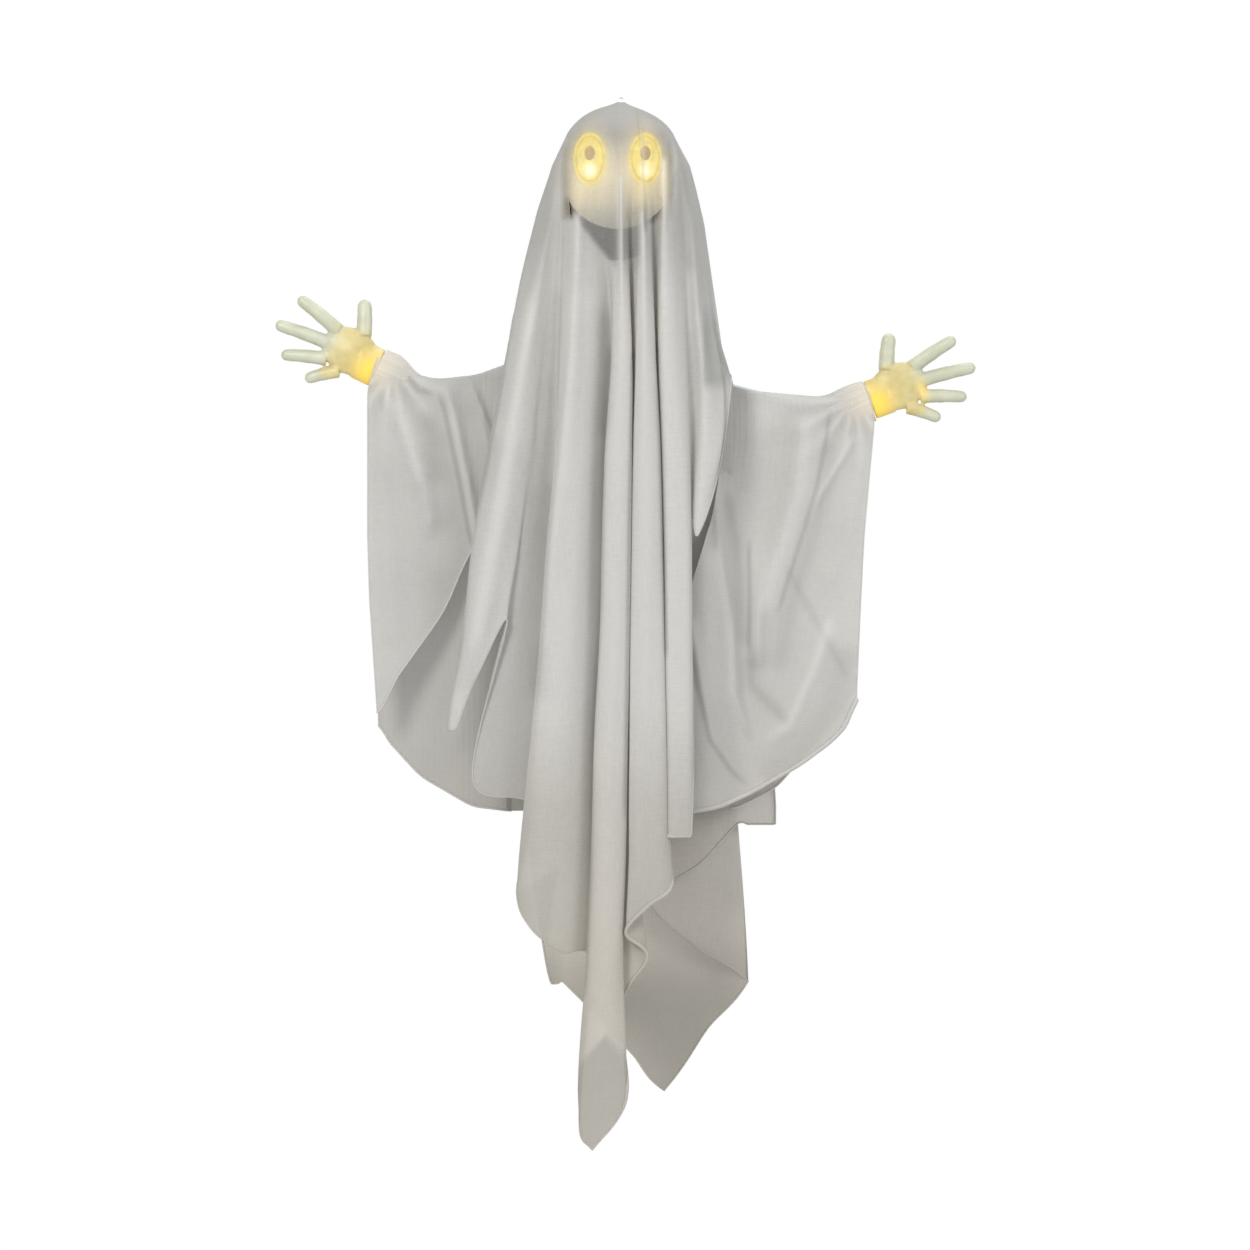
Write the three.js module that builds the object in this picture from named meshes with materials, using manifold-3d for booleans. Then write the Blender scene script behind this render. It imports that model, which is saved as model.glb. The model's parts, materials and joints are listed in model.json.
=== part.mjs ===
// Hanging ghost decoration with glowing eyes and glowing hands.
// Millimetres, +Z up, -Y is the front, +X is to the viewer's right. "Left" and "right" are the viewer's.
// The origin is where the hanging loop stands out of the veil's peak, and the ghost hangs below it.
import * as THREE from 'three';
import { mergeVertices } from 'three/addons/utils/BufferGeometryUtils.js';
import Module from 'manifold-3d';

const wasm = await Module();
wasm.setup();

// Driving dimensions
const clearance = 0.3; // between pieces that touch

const headX = -5; // the head hangs a little to the left of the loop
const headRadius = 83;
const headWidestZ = -95;
const crownHeight = 87;
const chinDepth = 151;
const jawFullness = 2.6; // 2 is an ellipse, more is a squarer jaw
const headWall = 2.5;

const eyeSpacing = 81;
const eyeZ = -85;
const eyeHalfWidth = 24;
const eyeHalfHeight = 39;
const eyeLensProud = 0.6;
const eyeLensWall = 1.8;
const eyeFlange = 4; // how far the lens rim reaches behind the shell
const pupilHalfWidth = 7.5;
const pupilHalfHeight = 10.5;
const pupilRise = 8;
const pupilThickness = 0.6;

const mouthCornerInset = 12.4; // the grin's corners lie this far inside the head's outline
const mouthCornerZ = -145.7;
const mouthUpperDrop = 41.3; // from the corners down to the middle of each lip
const mouthLowerDrop = 86.3;
const mouthPanelLap = 5; // how far the dark panel reaches behind the shell
const mouthPanelWall = 1.5;

const loopHalfWidth = 4;
const loopWireRadius = 0.8;
const loopTopZ = 7.4;
const loopLegLength = 34;
const loopShoulder = 4; // the legs run straight up to this far below the arch

const tubeRadius = 9.5;
const tubeWall = 1.6;
const tubeTopZ = -20;
const collarRadius = 17;
const collarThickness = 3;
const capHeadRadius = 12;
const capHeadHeight = 5;
const capPlugLength = 22;

const ledRadius = 2.5;
const ledHeight = 8.6;
const ledFlangeRadius = 2.9;
const ledFlangeHeight = 1;
const bracketThickness = 2.4;
const bracketHeight = 16;
const eyeLedZ = -103;
const bracketY = -38;
const bracketArmWidth = 8;

const shoulderSpan = 120; // between the two shoulder pins
const shoulderZ = -392;
const hubRadius = 14;
const hubDepth = 26;
const hubBossRadius = 14.5;
const hubBossHeight = 22;
const hubSocketDepth = 30;
const knuckleRadius = 10;
const knuckleThickness = 9;
const pinRadius = 2.5;
const pinHeadRadius = 4.5;
const pinHeadHeight = 1.6;

const armWireRadius = 3;
const wristPlugRadius = 8;
const wristPlugLength = 16;
const wristPlugBack = 8; // how much of the plug lies outside the hand
const wristFlangeLength = 3;
const leadRadius = 1.1;
const leadHoleRadius = 4.2;
const leadHoleZ = -121;
const leadInset = 6; // an arm lead starts this far beyond the knuckle

const cellRadius = 7.1;
const cellLength = 49;
const cellPitch = 15.2;
const cellCount = 3;
const nubRadius = 2.7;
const nubHeight = 1.2;
const caseWall = 1.8;
const contactSheet = 0.6;
const contactTravel = 3.4; // room for the spring cones at the lower end of the cells
const doorThickness = 1.9;
const doorLipWidth = 2.6;
const doorLipThickness = 1.4;
const doorRidgeHeight = 0.9;
const doorRidgeCount = 3;
const doorRidgeLength = 14;
const doorRidgeWidth = 1.6;
const doorRidgePitch = 4;
const knobLength = 6;
const knobWidth = 3.4;
const knobReach = 2.6;
const knobTravel = 4;
const knobAboveMiddle = 10;
const coneFootRadius = 4.6; // spring cones under the cells
const coneTipRadius = 2.4;

const clothThickness = 1;
const veilStandOff = 3.2; // cloth over the plastic head

// Facet counts: sides of thin rods, of holes and of larger round parts, and steps along a curved rod
const thinSides = 8;
const holeSides = 12;
const roundSides = 20;
const lipSides = 48;
const curveSteps = 20;
const leadSteps = 24;
const beyond = 4; // cutting tools reach this much past what they cut

const alongX = new THREE.Vector3(1, 0, 0);
const alongY = new THREE.Vector3(0, 1, 0);
const alongZ = new THREE.Vector3(0, 0, 1);

// Small helpers
function place(geometry, x, y, z) {
  geometry.translate(x, y, z);
  return geometry;
}

// Turns a closed mesh right way out where its signed volume is negative
function outward(geometry) {
  const position = geometry.attributes.position;
  const index = geometry.index.array;
  const [a, b, c] = [new THREE.Vector3(), new THREE.Vector3(), new THREE.Vector3()];
  let volume = 0;
  for (let i = 0; i < index.length; i += 3) {
    a.fromBufferAttribute(position, index[i]);
    b.fromBufferAttribute(position, index[i + 1]);
    c.fromBufferAttribute(position, index[i + 2]);
    volume += a.dot(b.cross(c));
  }
  if (volume < 0) {
    index.reverse();
  }
  return geometry;
}

// A plain closed mesh: corners merged, slivers of no area dropped, faces outward
function closedMesh(geometry) {
  const bare = geometry.clone();
  bare.deleteAttribute('normal');
  bare.deleteAttribute('uv');
  const merged = mergeVertices(bare, 1e-4);
  const kept = [];
  const index = merged.index.array;
  for (let i = 0; i < index.length; i += 3) {
    const [a, b, c] = index.slice(i, i + 3);
    if (a !== b && b !== c && c !== a) {
      kept.push(a, b, c);
    }
  }
  merged.setIndex(kept);
  return outward(merged);
}

function toSolid(geometry) {
  const merged = closedMesh(geometry);
  return new wasm.Manifold(new wasm.Mesh({
    numProp: 3,
    vertProperties: new Float32Array(merged.attributes.position.array),
    triVerts: new Uint32Array(merged.index.array),
  }));
}

function toGeometry(solid) {
  const mesh = solid.getMesh();
  const geometry = new THREE.BufferGeometry();
  const positions = new Float32Array(mesh.vertProperties);
  geometry.setAttribute('position', new THREE.BufferAttribute(positions, 3));
  geometry.setIndex(new THREE.BufferAttribute(new Uint32Array(mesh.triVerts), 1));
  geometry.computeVertexNormals();
  return geometry;
}

function joined(...geometries) {
  return toGeometry(geometries.map(toSolid).reduce((all, one) => all.add(one)));
}

function cut(geometry, ...tools) {
  return toGeometry(tools.map(toSolid).reduce((left, tool) => left.subtract(tool), toSolid(geometry)));
}

function common(geometry, tool) {
  return toGeometry(toSolid(geometry).intersect(toSolid(tool)));
}

function box(sizeX, sizeY, sizeZ, x, y, z) {
  return place(new THREE.BoxGeometry(sizeX, sizeY, sizeZ), x, y, z);
}

// A cylinder whose axis runs along the given direction
function rod(radius, length, x, y, z, direction = alongZ, sides = roundSides) {
  const geometry = new THREE.CylinderGeometry(radius, radius, length, sides);
  const turn = new THREE.Quaternion().setFromUnitVectors(alongY, direction.clone().normalize());
  geometry.applyQuaternion(turn);
  return place(geometry, x, y, z);
}

// Revolves a profile of [radius, z] pairs about the Z axis. It starts and ends on the axis, or closes on
// itself.
function revolved(profile, sides = roundSides) {
  const points = profile.map(([radius, z]) => new THREE.Vector2(radius, z));
  if (points[0].x > 0) {
    points.push(points[0].clone());
  }
  return new THREE.LatheGeometry(points, sides).rotateX(Math.PI / 2);
}

function polygonSection(radius, sides) {
  const corners = Array.from({ length: sides }, (_, i) => new THREE.Vector2(
    radius * Math.cos((2 * Math.PI * i) / sides),
    radius * Math.sin((2 * Math.PI * i) / sides),
  ));
  return new THREE.Shape(corners);
}

// A tube along a smooth curve through the given points
function tubeAlong(points, radius, sides, steps) {
  const path = new THREE.CatmullRomCurve3(points.map((p) => new THREE.Vector3(...p)), false, 'centripetal');
  return new THREE.ExtrudeGeometry(polygonSection(radius, sides), { steps, extrudePath: path });
}

const parts = new THREE.Group();

const finishes = {
  mask: { color: 0xd9d8d2, roughness: 0.55, metalness: 0 },
  lens: { color: 0xffd45a, roughness: 0.35, metalness: 0 },
  dark: { color: 0x2b2b2a, roughness: 0.7, metalness: 0 },
  pupil: { color: 0x9a6a1c, roughness: 0.5, metalness: 0 },
  steel: { color: 0xb9bcc0, roughness: 0.35, metalness: 1 },
  pipe: { color: 0xe8e8e4, roughness: 0.5, metalness: 0 },
  housing: { color: 0x202124, roughness: 0.6, metalness: 0 },
  led: { color: 0xfff0b8, roughness: 0.2, metalness: 0 },
  cell: { color: 0x3d5f8a, roughness: 0.4, metalness: 0.2 },
  lead: { color: 0xf0f0ec, roughness: 0.5, metalness: 0 },
  vinyl: { color: 0xe9e6bf, roughness: 0.5, metalness: 0 },
  cloth: { color: 0xcfcec9, roughness: 0.9, metalness: 0 },
};

function add(name, geometry, finish) {
  const mesh = new THREE.Mesh(closedMesh(geometry), new THREE.MeshStandardMaterial(finishes[finish]));
  mesh.name = name;
  parts.add(mesh);
  return mesh;
}

// Head: a half ellipse above its widest level and a fuller superellipse below, offset outwards by `grow`
function egg(grow, sides = 28, rows = 14) {
  const profile = [];
  for (let i = 0; i <= rows; i += 1) {
    const turn = -Math.PI / 2 + (Math.PI * i) / rows;
    const [reach, power] = turn > 0 ? [crownHeight, 1] : [chinDepth, 2 / jawFullness];
    const height = Math.sign(turn) * (reach + grow) * Math.abs(Math.sin(turn)) ** power;
    const radius = i === 0 || i === rows ? 0 : (headRadius + grow) * Math.cos(turn) ** power;
    profile.push(new THREE.Vector2(radius, height));
  }
  const geometry = new THREE.LatheGeometry(profile, sides).rotateX(Math.PI / 2);
  return place(geometry, headX, 0, headWidestZ);
}

const frontReach = headRadius * 2;

// An upright oval prism that reaches from the middle of the head out through its front
function ovalPrism(x, z, halfWidth, halfHeight) {
  const shape = new THREE.Shape();
  shape.absellipse(0, 0, halfWidth, halfHeight, 0, 2 * Math.PI);
  const prism = new THREE.ExtrudeGeometry(shape, {
    depth: frontReach,
    bevelEnabled: false,
    curveSegments: roundSides,
  });
  return place(prism.rotateX(Math.PI / 2), headX + x, 0, z);
}

// A disc through both corners of the mouth whose lowest point lies `drop` below them, as a prism to the front
function lipPrism(drop, grow, length) {
  const half = headRadius - mouthCornerInset;
  const radius = (half ** 2 + drop ** 2) / (2 * drop);
  return rod(radius + grow, length, headX, -frontReach / 2, mouthCornerZ - drop + radius, alongY, lipSides);
}

// The grin: what lies inside the lower lip's circle and outside the upper lip's
function grinPrism(grow) {
  const upper = lipPrism(mouthUpperDrop, -grow, frontReach + beyond);
  return cut(lipPrism(mouthLowerDrop, grow, frontReach), upper);
}

function eggLayer(outer, inner) {
  return cut(egg(outer), egg(inner));
}

const chinZ = headWidestZ - chinDepth;
const loopLegZ = loopTopZ - loopWireRadius - loopHalfWidth;

// Holes for the loop's legs, as long as given, about the height z
function legHoles(length, z) {
  const radius = loopWireRadius + clearance;
  return [-1, 1].map((leg) => rod(radius, length, leg * loopHalfWidth, 0, z, alongZ, holeSides));
}

function headHalf(side) {
  const middleY = side * (frontReach / 2 + clearance / 2);
  const half = box(frontReach * 2, frontReach, frontReach * 3, headX, middleY, headWidestZ);
  const tubeHole = rod(tubeRadius + clearance, headRadius, 0, 0, chinZ);
  return cut(common(eggLayer(0, -headWall), half), tubeHole, ...legHoles(loopLegLength, loopLegZ));
}

function buildHead() {
  const eyes = [-1, 1].map((side) => ovalPrism(side * eyeSpacing / 2, eyeZ, eyeHalfWidth, eyeHalfHeight));
  add('face_shell', cut(headHalf(-1), ...eyes, grinPrism(0)), 'mask');
  add('back_shell', headHalf(1), 'mask');

  const panelOuter = -headWall - clearance;
  const panel = common(eggLayer(panelOuter, panelOuter - mouthPanelWall), grinPrism(mouthPanelLap));
  add('mouth_panel', cut(panel, rod(tubeRadius + clearance, headRadius, 0, 0, chinZ)), 'dark');
}

// Each lens is a dome in the eye opening with a rim behind the shell, and carries a raised oval pupil
function buildEye(name, side) {
  const x = side * eyeSpacing / 2;
  const rimOuter = -headWall - clearance;
  const window = common(
    eggLayer(eyeLensProud, rimOuter - eyeLensWall / 2),
    ovalPrism(x, eyeZ, eyeHalfWidth - clearance, eyeHalfHeight - clearance),
  );
  const rim = common(
    eggLayer(rimOuter, rimOuter - eyeLensWall),
    ovalPrism(x, eyeZ, eyeHalfWidth + eyeFlange, eyeHalfHeight + eyeFlange),
  );
  add(`${name}_eye_lens`, joined(window, rim), 'lens');
  const pupilInner = eyeLensProud + clearance;
  const pupil = common(
    eggLayer(pupilInner + pupilThickness, pupilInner),
    ovalPrism(x, eyeZ + pupilRise, pupilHalfWidth, pupilHalfHeight),
  );
  add(`${name}_eye_pupil`, pupil, 'pupil');
}

// A 5 mm lamp standing on the plane z = 0 and pointing up, turned to `direction` and moved to `at`
function led(at, direction) {
  const barrel = ledHeight - ledRadius;
  const profile = [[0, 0], [ledFlangeRadius, 0], [ledFlangeRadius, ledFlangeHeight],
    [ledRadius, ledFlangeHeight], [ledRadius, barrel]];
  const domeRows = 3;
  for (let i = 1; i <= domeRows; i += 1) {
    const turn = (Math.PI / 2) * (i / domeRows);
    profile.push([i === domeRows ? 0 : ledRadius * Math.cos(turn), barrel + ledRadius * Math.sin(turn)]);
  }
  const points = profile.map(([radius, z]) => new THREE.Vector2(radius, z));
  const geometry = new THREE.LatheGeometry(points, thinSides);
  geometry.applyQuaternion(new THREE.Quaternion().setFromUnitVectors(alongY, direction));
  return place(geometry, ...at);
}

// The lamp bracket clips round the tube and spreads to both eyes
function buildEyeLamps() {
  const reach = eyeSpacing / 2 + bracketHeight / 2;
  const bar = box(2 * reach, bracketThickness, bracketHeight, headX, bracketY, eyeLedZ);
  const arm = box(bracketArmWidth, -bracketY, bracketHeight, 0, bracketY / 2, eyeLedZ);
  const clip = rod(tubeRadius + bracketThickness, bracketHeight, 0, 0, eyeLedZ);
  const bore = rod(tubeRadius + clearance, bracketHeight + beyond, 0, 0, eyeLedZ);
  add('lamp_bracket', cut(joined(bar, arm, clip), bore), 'housing');
  for (const [name, side] of [['left', -1], ['right', 1]]) {
    const at = [headX + side * eyeSpacing / 2, bracketY - bracketThickness / 2 - clearance, eyeLedZ];
    add(`${name}_eye_led`, led(at, alongY.clone().negate()), 'led');
  }
}

// Hanging loop: a wire staple whose two legs stand in the tube cap
function buildHanger() {
  const points = [];
  for (const turn of [Math.PI, (3 * Math.PI) / 4, Math.PI / 2, Math.PI / 4, 0]) {
    points.push([loopHalfWidth * Math.cos(turn), 0, loopLegZ + loopHalfWidth * Math.sin(turn)]);
  }
  for (const drop of [loopShoulder, loopLegLength]) {
    points.unshift([-loopHalfWidth, 0, loopLegZ - drop]);
    points.push([loopHalfWidth, 0, loopLegZ - drop]);
  }
  add('hanging_loop', tubeAlong(points, loopWireRadius, thinSides, curveSteps), 'steel');

  const headTop = tubeTopZ + capHeadHeight;
  const plugRadius = tubeRadius - tubeWall - clearance;
  const plugEnd = tubeTopZ - capPlugLength;
  const headSeat = tubeTopZ + clearance;
  const cap = revolved([[capHeadRadius, headTop], [capHeadRadius, headSeat], [plugRadius, headSeat],
    [plugRadius, plugEnd], [0, plugEnd], [0, headTop]]);
  add('tube_cap', cut(cap, ...legHoles(capPlugLength * 4, tubeTopZ)), 'housing');
}

const hubTopZ = shoulderZ + hubRadius;
const tubeBottomZ = hubTopZ + hubBossHeight - hubSocketDepth;

function buildTube() {
  const inner = tubeRadius - tubeWall;
  const collarTop = chinZ - clearance;
  const collarBottom = collarTop - collarThickness;
  const tube = revolved([[inner, tubeBottomZ], [tubeRadius, tubeBottomZ], [tubeRadius, collarBottom],
    [collarRadius, collarBottom], [collarRadius, collarTop], [tubeRadius, collarTop], [tubeRadius, tubeTopZ],
    [inner, tubeTopZ]]);
  const leadHole = rod(leadHoleRadius, 2 * tubeRadius, 0, -tubeRadius, leadHoleZ, alongY, holeSides);
  add('neck_tube', cut(tube, leadHole), 'pipe');
}

// The lead to the eye lamps runs under the bracket, through the wall of the tube and down inside it
function buildEyeLead() {
  const startZ = eyeLedZ - bracketHeight / 2 - clearance - leadRadius;
  const end = tubeBottomZ + clearance;
  const route = [[0, bracketY + 2, startZ], [0, bracketY * 0.6, startZ - 0.5],
    [0, -tubeRadius - 5, startZ - 2], [0, -tubeRadius, leadHoleZ], [0, -tubeRadius / 3, leadHoleZ - 9],
    [0, 0, leadHoleZ - 24], [0, 0, (leadHoleZ + end) / 2], [0, 0, end]];
  add('eye_lead', tubeAlong(route, leadRadius, thinSides, leadSteps), 'lead');
}

// Shoulder hub: a bar with a fork at each end and a socket for the tube
function buildHub() {
  const half = shoulderSpan / 2;
  const outline = new THREE.Shape();
  outline.absarc(half, 0, hubRadius, -Math.PI / 2, Math.PI / 2, false);
  outline.absarc(-half, 0, hubRadius, Math.PI / 2, (3 * Math.PI) / 2, false);
  const bar = new THREE.ExtrudeGeometry(outline, {
    depth: hubDepth,
    bevelEnabled: false,
    curveSegments: holeSides,
  });
  bar.rotateX(Math.PI / 2);
  place(bar, 0, hubDepth / 2, shoulderZ);
  const boss = rod(hubBossRadius, hubBossHeight + hubRadius, 0, 0, hubTopZ + (hubBossHeight - hubRadius) / 2);
  const socketZ = tubeBottomZ - clearance + hubSocketDepth;
  const socket = rod(tubeRadius + clearance, hubSocketDepth * 2, 0, 0, socketZ);
  const forks = [-1, 1].flatMap((side) => [
    box(2 * (knuckleRadius + hubRadius + clearance), knuckleThickness + 2 * clearance, 4 * hubRadius,
      side * (half + hubRadius), 0, shoulderZ),
    rod(pinRadius + clearance, hubDepth * 2, side * half, 0, shoulderZ, alongY, holeSides),
  ]);
  add('shoulder_hub', cut(joined(bar, boss), socket, ...forks), 'housing');

  for (const [name, side] of [['left', -1], ['right', 1]]) {
    const front = hubDepth / 2 + clearance;
    const end = front + pinHeadHeight;
    const pin = revolved([[0, -end], [pinHeadRadius, -end], [pinHeadRadius, -front], [pinRadius, -front],
      [pinRadius, front], [pinHeadRadius, front], [pinHeadRadius, end], [0, end]], holeSides);
    add(`${name}_shoulder_pin`, place(pin.rotateX(Math.PI / 2), side * half, 0, shoulderZ), 'steel');
  }
}

// Battery case: an open tray under the hub, its door slides down in the grooves of the side walls
const caseTopZ = shoulderZ - hubRadius - clearance;
const bayHalfWidth = ((cellCount - 1) * cellPitch) / 2 + cellRadius + clearance;
const bayHeight = cellLength + nubHeight + 2 * contactSheet + contactTravel + 4 * clearance;
const caseHeight = bayHeight + 2 * caseWall;
const bayBackY = -cellRadius - clearance;
const bayMouthY = cellRadius + clearance;
const doorY = bayMouthY + clearance;
const lipY = doorY + doorThickness + clearance;
const bayMiddleZ = caseTopZ - caseHeight / 2;
const knobZ = bayMiddleZ + knobAboveMiddle;

function buildCase() {
  const halfWidth = bayHalfWidth + caseWall;
  const backY = bayBackY - caseWall;
  const depth = lipY + doorLipThickness - backY;
  const middleY = backY + depth / 2;
  const tray = box(2 * halfWidth, depth, caseHeight, 0, middleY, bayMiddleZ);
  const bay = box(2 * bayHalfWidth, 2 * (bayMouthY - bayBackY), bayHeight, 0, bayMouthY, bayMiddleZ);
  const openEndZ = bayMiddleZ - caseHeight / 2 - caseWall;
  const doorwayY = (bayMouthY + lipY) / 2;
  const doorway = box(2 * bayHalfWidth, lipY - bayMouthY, 2 * caseHeight, 0, doorwayY, openEndZ);
  const mouth = box(2 * (bayHalfWidth - doorLipWidth), depth, 2 * caseHeight, 0, lipY + depth / 2 - clearance,
    openEndZ);
  const slotLength = knobLength + knobTravel + 2 * clearance;
  const knobSlot = box(4 * caseWall, knobWidth + 2 * clearance, slotLength, -bayHalfWidth - caseWall, 0,
    knobZ - knobTravel / 2);
  add('battery_case', cut(tray, bay, doorway, mouth, knobSlot), 'housing');

  const doorHeight = caseHeight - caseWall - clearance;
  const doorMiddleZ = bayMiddleZ - (caseWall + clearance) / 2;
  const leafWidth = 2 * (bayHalfWidth - clearance);
  const leaf = box(leafWidth, doorThickness, doorHeight, 0, doorY + doorThickness / 2, doorMiddleZ);
  const firstRidgeZ = doorMiddleZ - doorHeight / 2 + 1.5 * doorRidgePitch;
  const ridges = Array.from({ length: doorRidgeCount }, (_, i) => box(doorRidgeLength, 2 * doorRidgeHeight,
    doorRidgeWidth, 0, doorY + doorThickness, firstRidgeZ + doorRidgePitch * i));
  add('battery_door', joined(leaf, ...ridges), 'housing');

  const knobDepth = caseWall + knobReach;
  add('switch_knob', box(knobDepth, knobWidth, knobLength, -bayHalfWidth - knobDepth / 2, 0, knobZ), 'pipe');
}

function buildCells() {
  const bottomZ = bayMiddleZ - bayHeight / 2;
  const topZ = bayMiddleZ + bayHeight / 2;
  const cellBottomZ = bottomZ + contactSheet + contactTravel + 2 * clearance;
  const plateHalf = bayHalfWidth - clearance;
  const places = Array.from({ length: cellCount }, (_, i) => (i - (cellCount - 1) / 2) * cellPitch);
  places.forEach((x, i) => {
    const cellTopZ = cellBottomZ + cellLength;
    const nubTopZ = cellTopZ + nubHeight;
    const cell = revolved([[0, cellBottomZ], [cellRadius, cellBottomZ], [cellRadius, cellTopZ],
      [nubRadius, cellTopZ], [nubRadius, nubTopZ], [0, nubTopZ]], roundSides);
    add(`battery_cell_${i + 1}`, place(cell, x, 0, 0), 'cell');
  });
  const upper = box(2 * plateHalf, 2 * cellRadius, contactSheet, 0, 0, topZ - clearance - contactSheet / 2);
  add('upper_contact', upper, 'steel');
  const sheetTop = bottomZ + clearance + contactSheet;
  const sheet = box(2 * plateHalf, 2 * cellRadius, contactSheet, 0, 0, sheetTop - contactSheet / 2);
  const footZ = sheetTop - contactSheet / 2;
  const coneTopZ = sheetTop + contactTravel;
  const coneProfile = [[0, footZ], [coneFootRadius, footZ], [coneFootRadius, sheetTop],
    [coneTipRadius, coneTopZ], [0, coneTopZ]];
  const cones = places.map((x) => place(revolved(coneProfile, holeSides), x, 0, 0));
  add('lower_contact', joined(sheet, ...cones), 'steel');
}

// Arms. Each side has its wire route from the shoulder pin to the wrist, and the slope at which the hand
// leaves it.
const arms = {
  left: {
    side: -1,
    wrist: new THREE.Vector3(-356, 0, -388),
    slope: THREE.MathUtils.degToRad(26),
    bends: [[-110, -393], [-165, -397], [-220, -408], [-270, -413]],
  },
  right: {
    side: 1,
    wrist: new THREE.Vector3(363, 0, -435),
    slope: THREE.MathUtils.degToRad(20),
    bends: [[110, -400], [165, -415], [220, -429], [275, -441]],
  },
};
const cuffLength = 62;
const cuffHalfHeight = 30;
const cuffHalfDepth = 18;
const cuffTaper = 0.92;
const wireEndStraight = 26;
const handWall = 2.6;
const handBackWall = 4;
const plugFlange = 1.8;

for (const arm of Object.values(arms)) {
  arm.along = new THREE.Vector3(arm.side * Math.cos(arm.slope), 0, Math.sin(arm.slope));
  arm.up = new THREE.Vector3(-arm.side * Math.sin(arm.slope), 0, Math.cos(arm.slope));
  const straight = arm.wrist.clone().addScaledVector(arm.along, -wireEndStraight);
  arm.route = [
    [arm.side * (shoulderSpan / 2 + 4), 0, shoulderZ],
    ...arm.bends.map(([x, z]) => [x, 0, z]),
    straight.toArray(),
    arm.wrist.clone().addScaledVector(arm.along, -4).toArray(),
  ];
}

// Height of an outline of [x, z] points at x, straight between points; x may run to either side
function heightOn(outline, x) {
  const away = (p) => Math.abs(p[0]);
  const last = outline.length - 1;
  if (Math.abs(x) >= away(outline[last])) {
    return outline[last][1];
  }
  const k = Math.max(1, outline.findIndex((p) => away(p) > Math.abs(x)));
  const t = (Math.abs(x) - away(outline[k - 1])) / (away(outline[k]) - away(outline[k - 1]));
  return THREE.MathUtils.lerp(outline[k - 1][1], outline[k][1], Math.max(t, 0));
}

function routeHeight(arm, x) {
  return heightOn(arm.route.map(([px, , pz]) => [px, pz]), x);
}

// Puts geometry made along +X (outwards) and +Z (thumb side) on an arm's wrist
function onWrist(geometry, arm) {
  const across = new THREE.Vector3().crossVectors(arm.up, arm.along);
  const frame = new THREE.Matrix4().makeBasis(arm.along, across, arm.up).setPosition(arm.wrist);
  return geometry.applyMatrix4(frame);
}

function buildArm(name, arm) {
  const pivotX = arm.side * shoulderSpan / 2;
  const wire = tubeAlong(arm.route, armWireRadius, thinSides, curveSteps);
  const knuckle = rod(knuckleRadius, knuckleThickness, pivotX, 0, shoulderZ, alongY);
  const pinHole = rod(pinRadius + clearance, knuckleThickness * 2, pivotX, 0, shoulderZ, alongY, holeSides);
  const plug = rod(wristPlugRadius, wristPlugLength, wristPlugLength / 2 - wristPlugBack, 0, 0, alongX);
  const flangeX = handBackWall + clearance + wristFlangeLength / 2;
  const flange = rod(wristPlugRadius + plugFlange, wristFlangeLength, flangeX, 0, 0, alongX);
  const solid = joined(wire, knuckle, onWrist(plug, arm), onWrist(flange, arm));
  add(`${name}_arm_wire`, cut(solid, pinHole), 'steel');

  const lamp = led([wristPlugLength - wristPlugBack + clearance, 0, 0], alongX);
  add(`${name}_hand_led`, onWrist(lamp, arm), 'led');

  const drop = armWireRadius + leadRadius + 2 * clearance;
  const startX = arm.side * (shoulderSpan / 2 + knuckleRadius + leadInset);
  const under = arm.wrist.clone().addScaledVector(arm.up, -drop);
  const underWire = (back) => under.clone().addScaledVector(arm.along, -back);
  const route = [
    [startX, 0, routeHeight(arm, startX) - drop],
    ...arm.bends.map(([x, z]) => [x, 0, z - drop]),
    underWire(wireEndStraight).toArray(),
    underWire(wristPlugBack + clearance).toArray(),
  ];
  add(`${name}_arm_lead`, tubeAlong(route, leadRadius, thinSides, curveSteps), 'lead');
}

// Fingers as [root along, root across, tip along, tip across, root radius, tip radius], from the wrist
const palm = { along: 46, across: 5, halfLength: 43, halfWidth: 34, halfDepth: 14 };
const wristHalfHeight = 29;
const wristHalfDepth = 15.5;
const fingers = [
  [38, 36, 55, 70, 9.5, 7.6],
  [76, 23, 137, 39, 9, 6.8],
  [80, 2, 150, -6, 9, 6.8],
  [72, -20, 124, -40, 9, 6.6],
  [48, -28, 79, -54, 9, 6.6],
];
const fingerForward = 5; // the tips lean towards the front

function ellipsoid(x, z, halfX, halfY, halfZ, columns, rows) {
  const ball = new THREE.SphereGeometry(1, columns, rows).rotateX(Math.PI / 2).scale(halfX, halfY, halfZ);
  return place(ball, x, 0, z);
}

function finger([x0, z0, x1, z1, rootRadius, tipRadius]) {
  const root = new THREE.Vector3(x0, 0, z0);
  const tip = new THREE.Vector3(x1, -fingerForward, z1);
  const span = tip.clone().sub(root);
  const length = span.length();
  const profile = [[0, -rootRadius], [rootRadius * 0.8, -rootRadius * 0.6], [rootRadius, 0],
    [(rootRadius + tipRadius) / 2 + 0.3, length * 0.55], [tipRadius, length],
    [tipRadius * 0.75, length + tipRadius * 0.66], [0, length + tipRadius]];
  const points = profile.map(([radius, y]) => new THREE.Vector2(radius, y));
  const shape = new THREE.LatheGeometry(points, thinSides);
  shape.applyQuaternion(new THREE.Quaternion().setFromUnitVectors(alongY, span.normalize()));
  return place(shape, x0, 0, z0);
}

function wristBarrel(x0, x1, halfDepth, halfHeight, sides) {
  const barrel = new THREE.CylinderGeometry(1, 1, x1 - x0, sides).rotateZ(Math.PI / 2);
  return place(barrel.scale(1, halfDepth, halfHeight), (x0 + x1) / 2, 0, 0);
}

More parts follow.
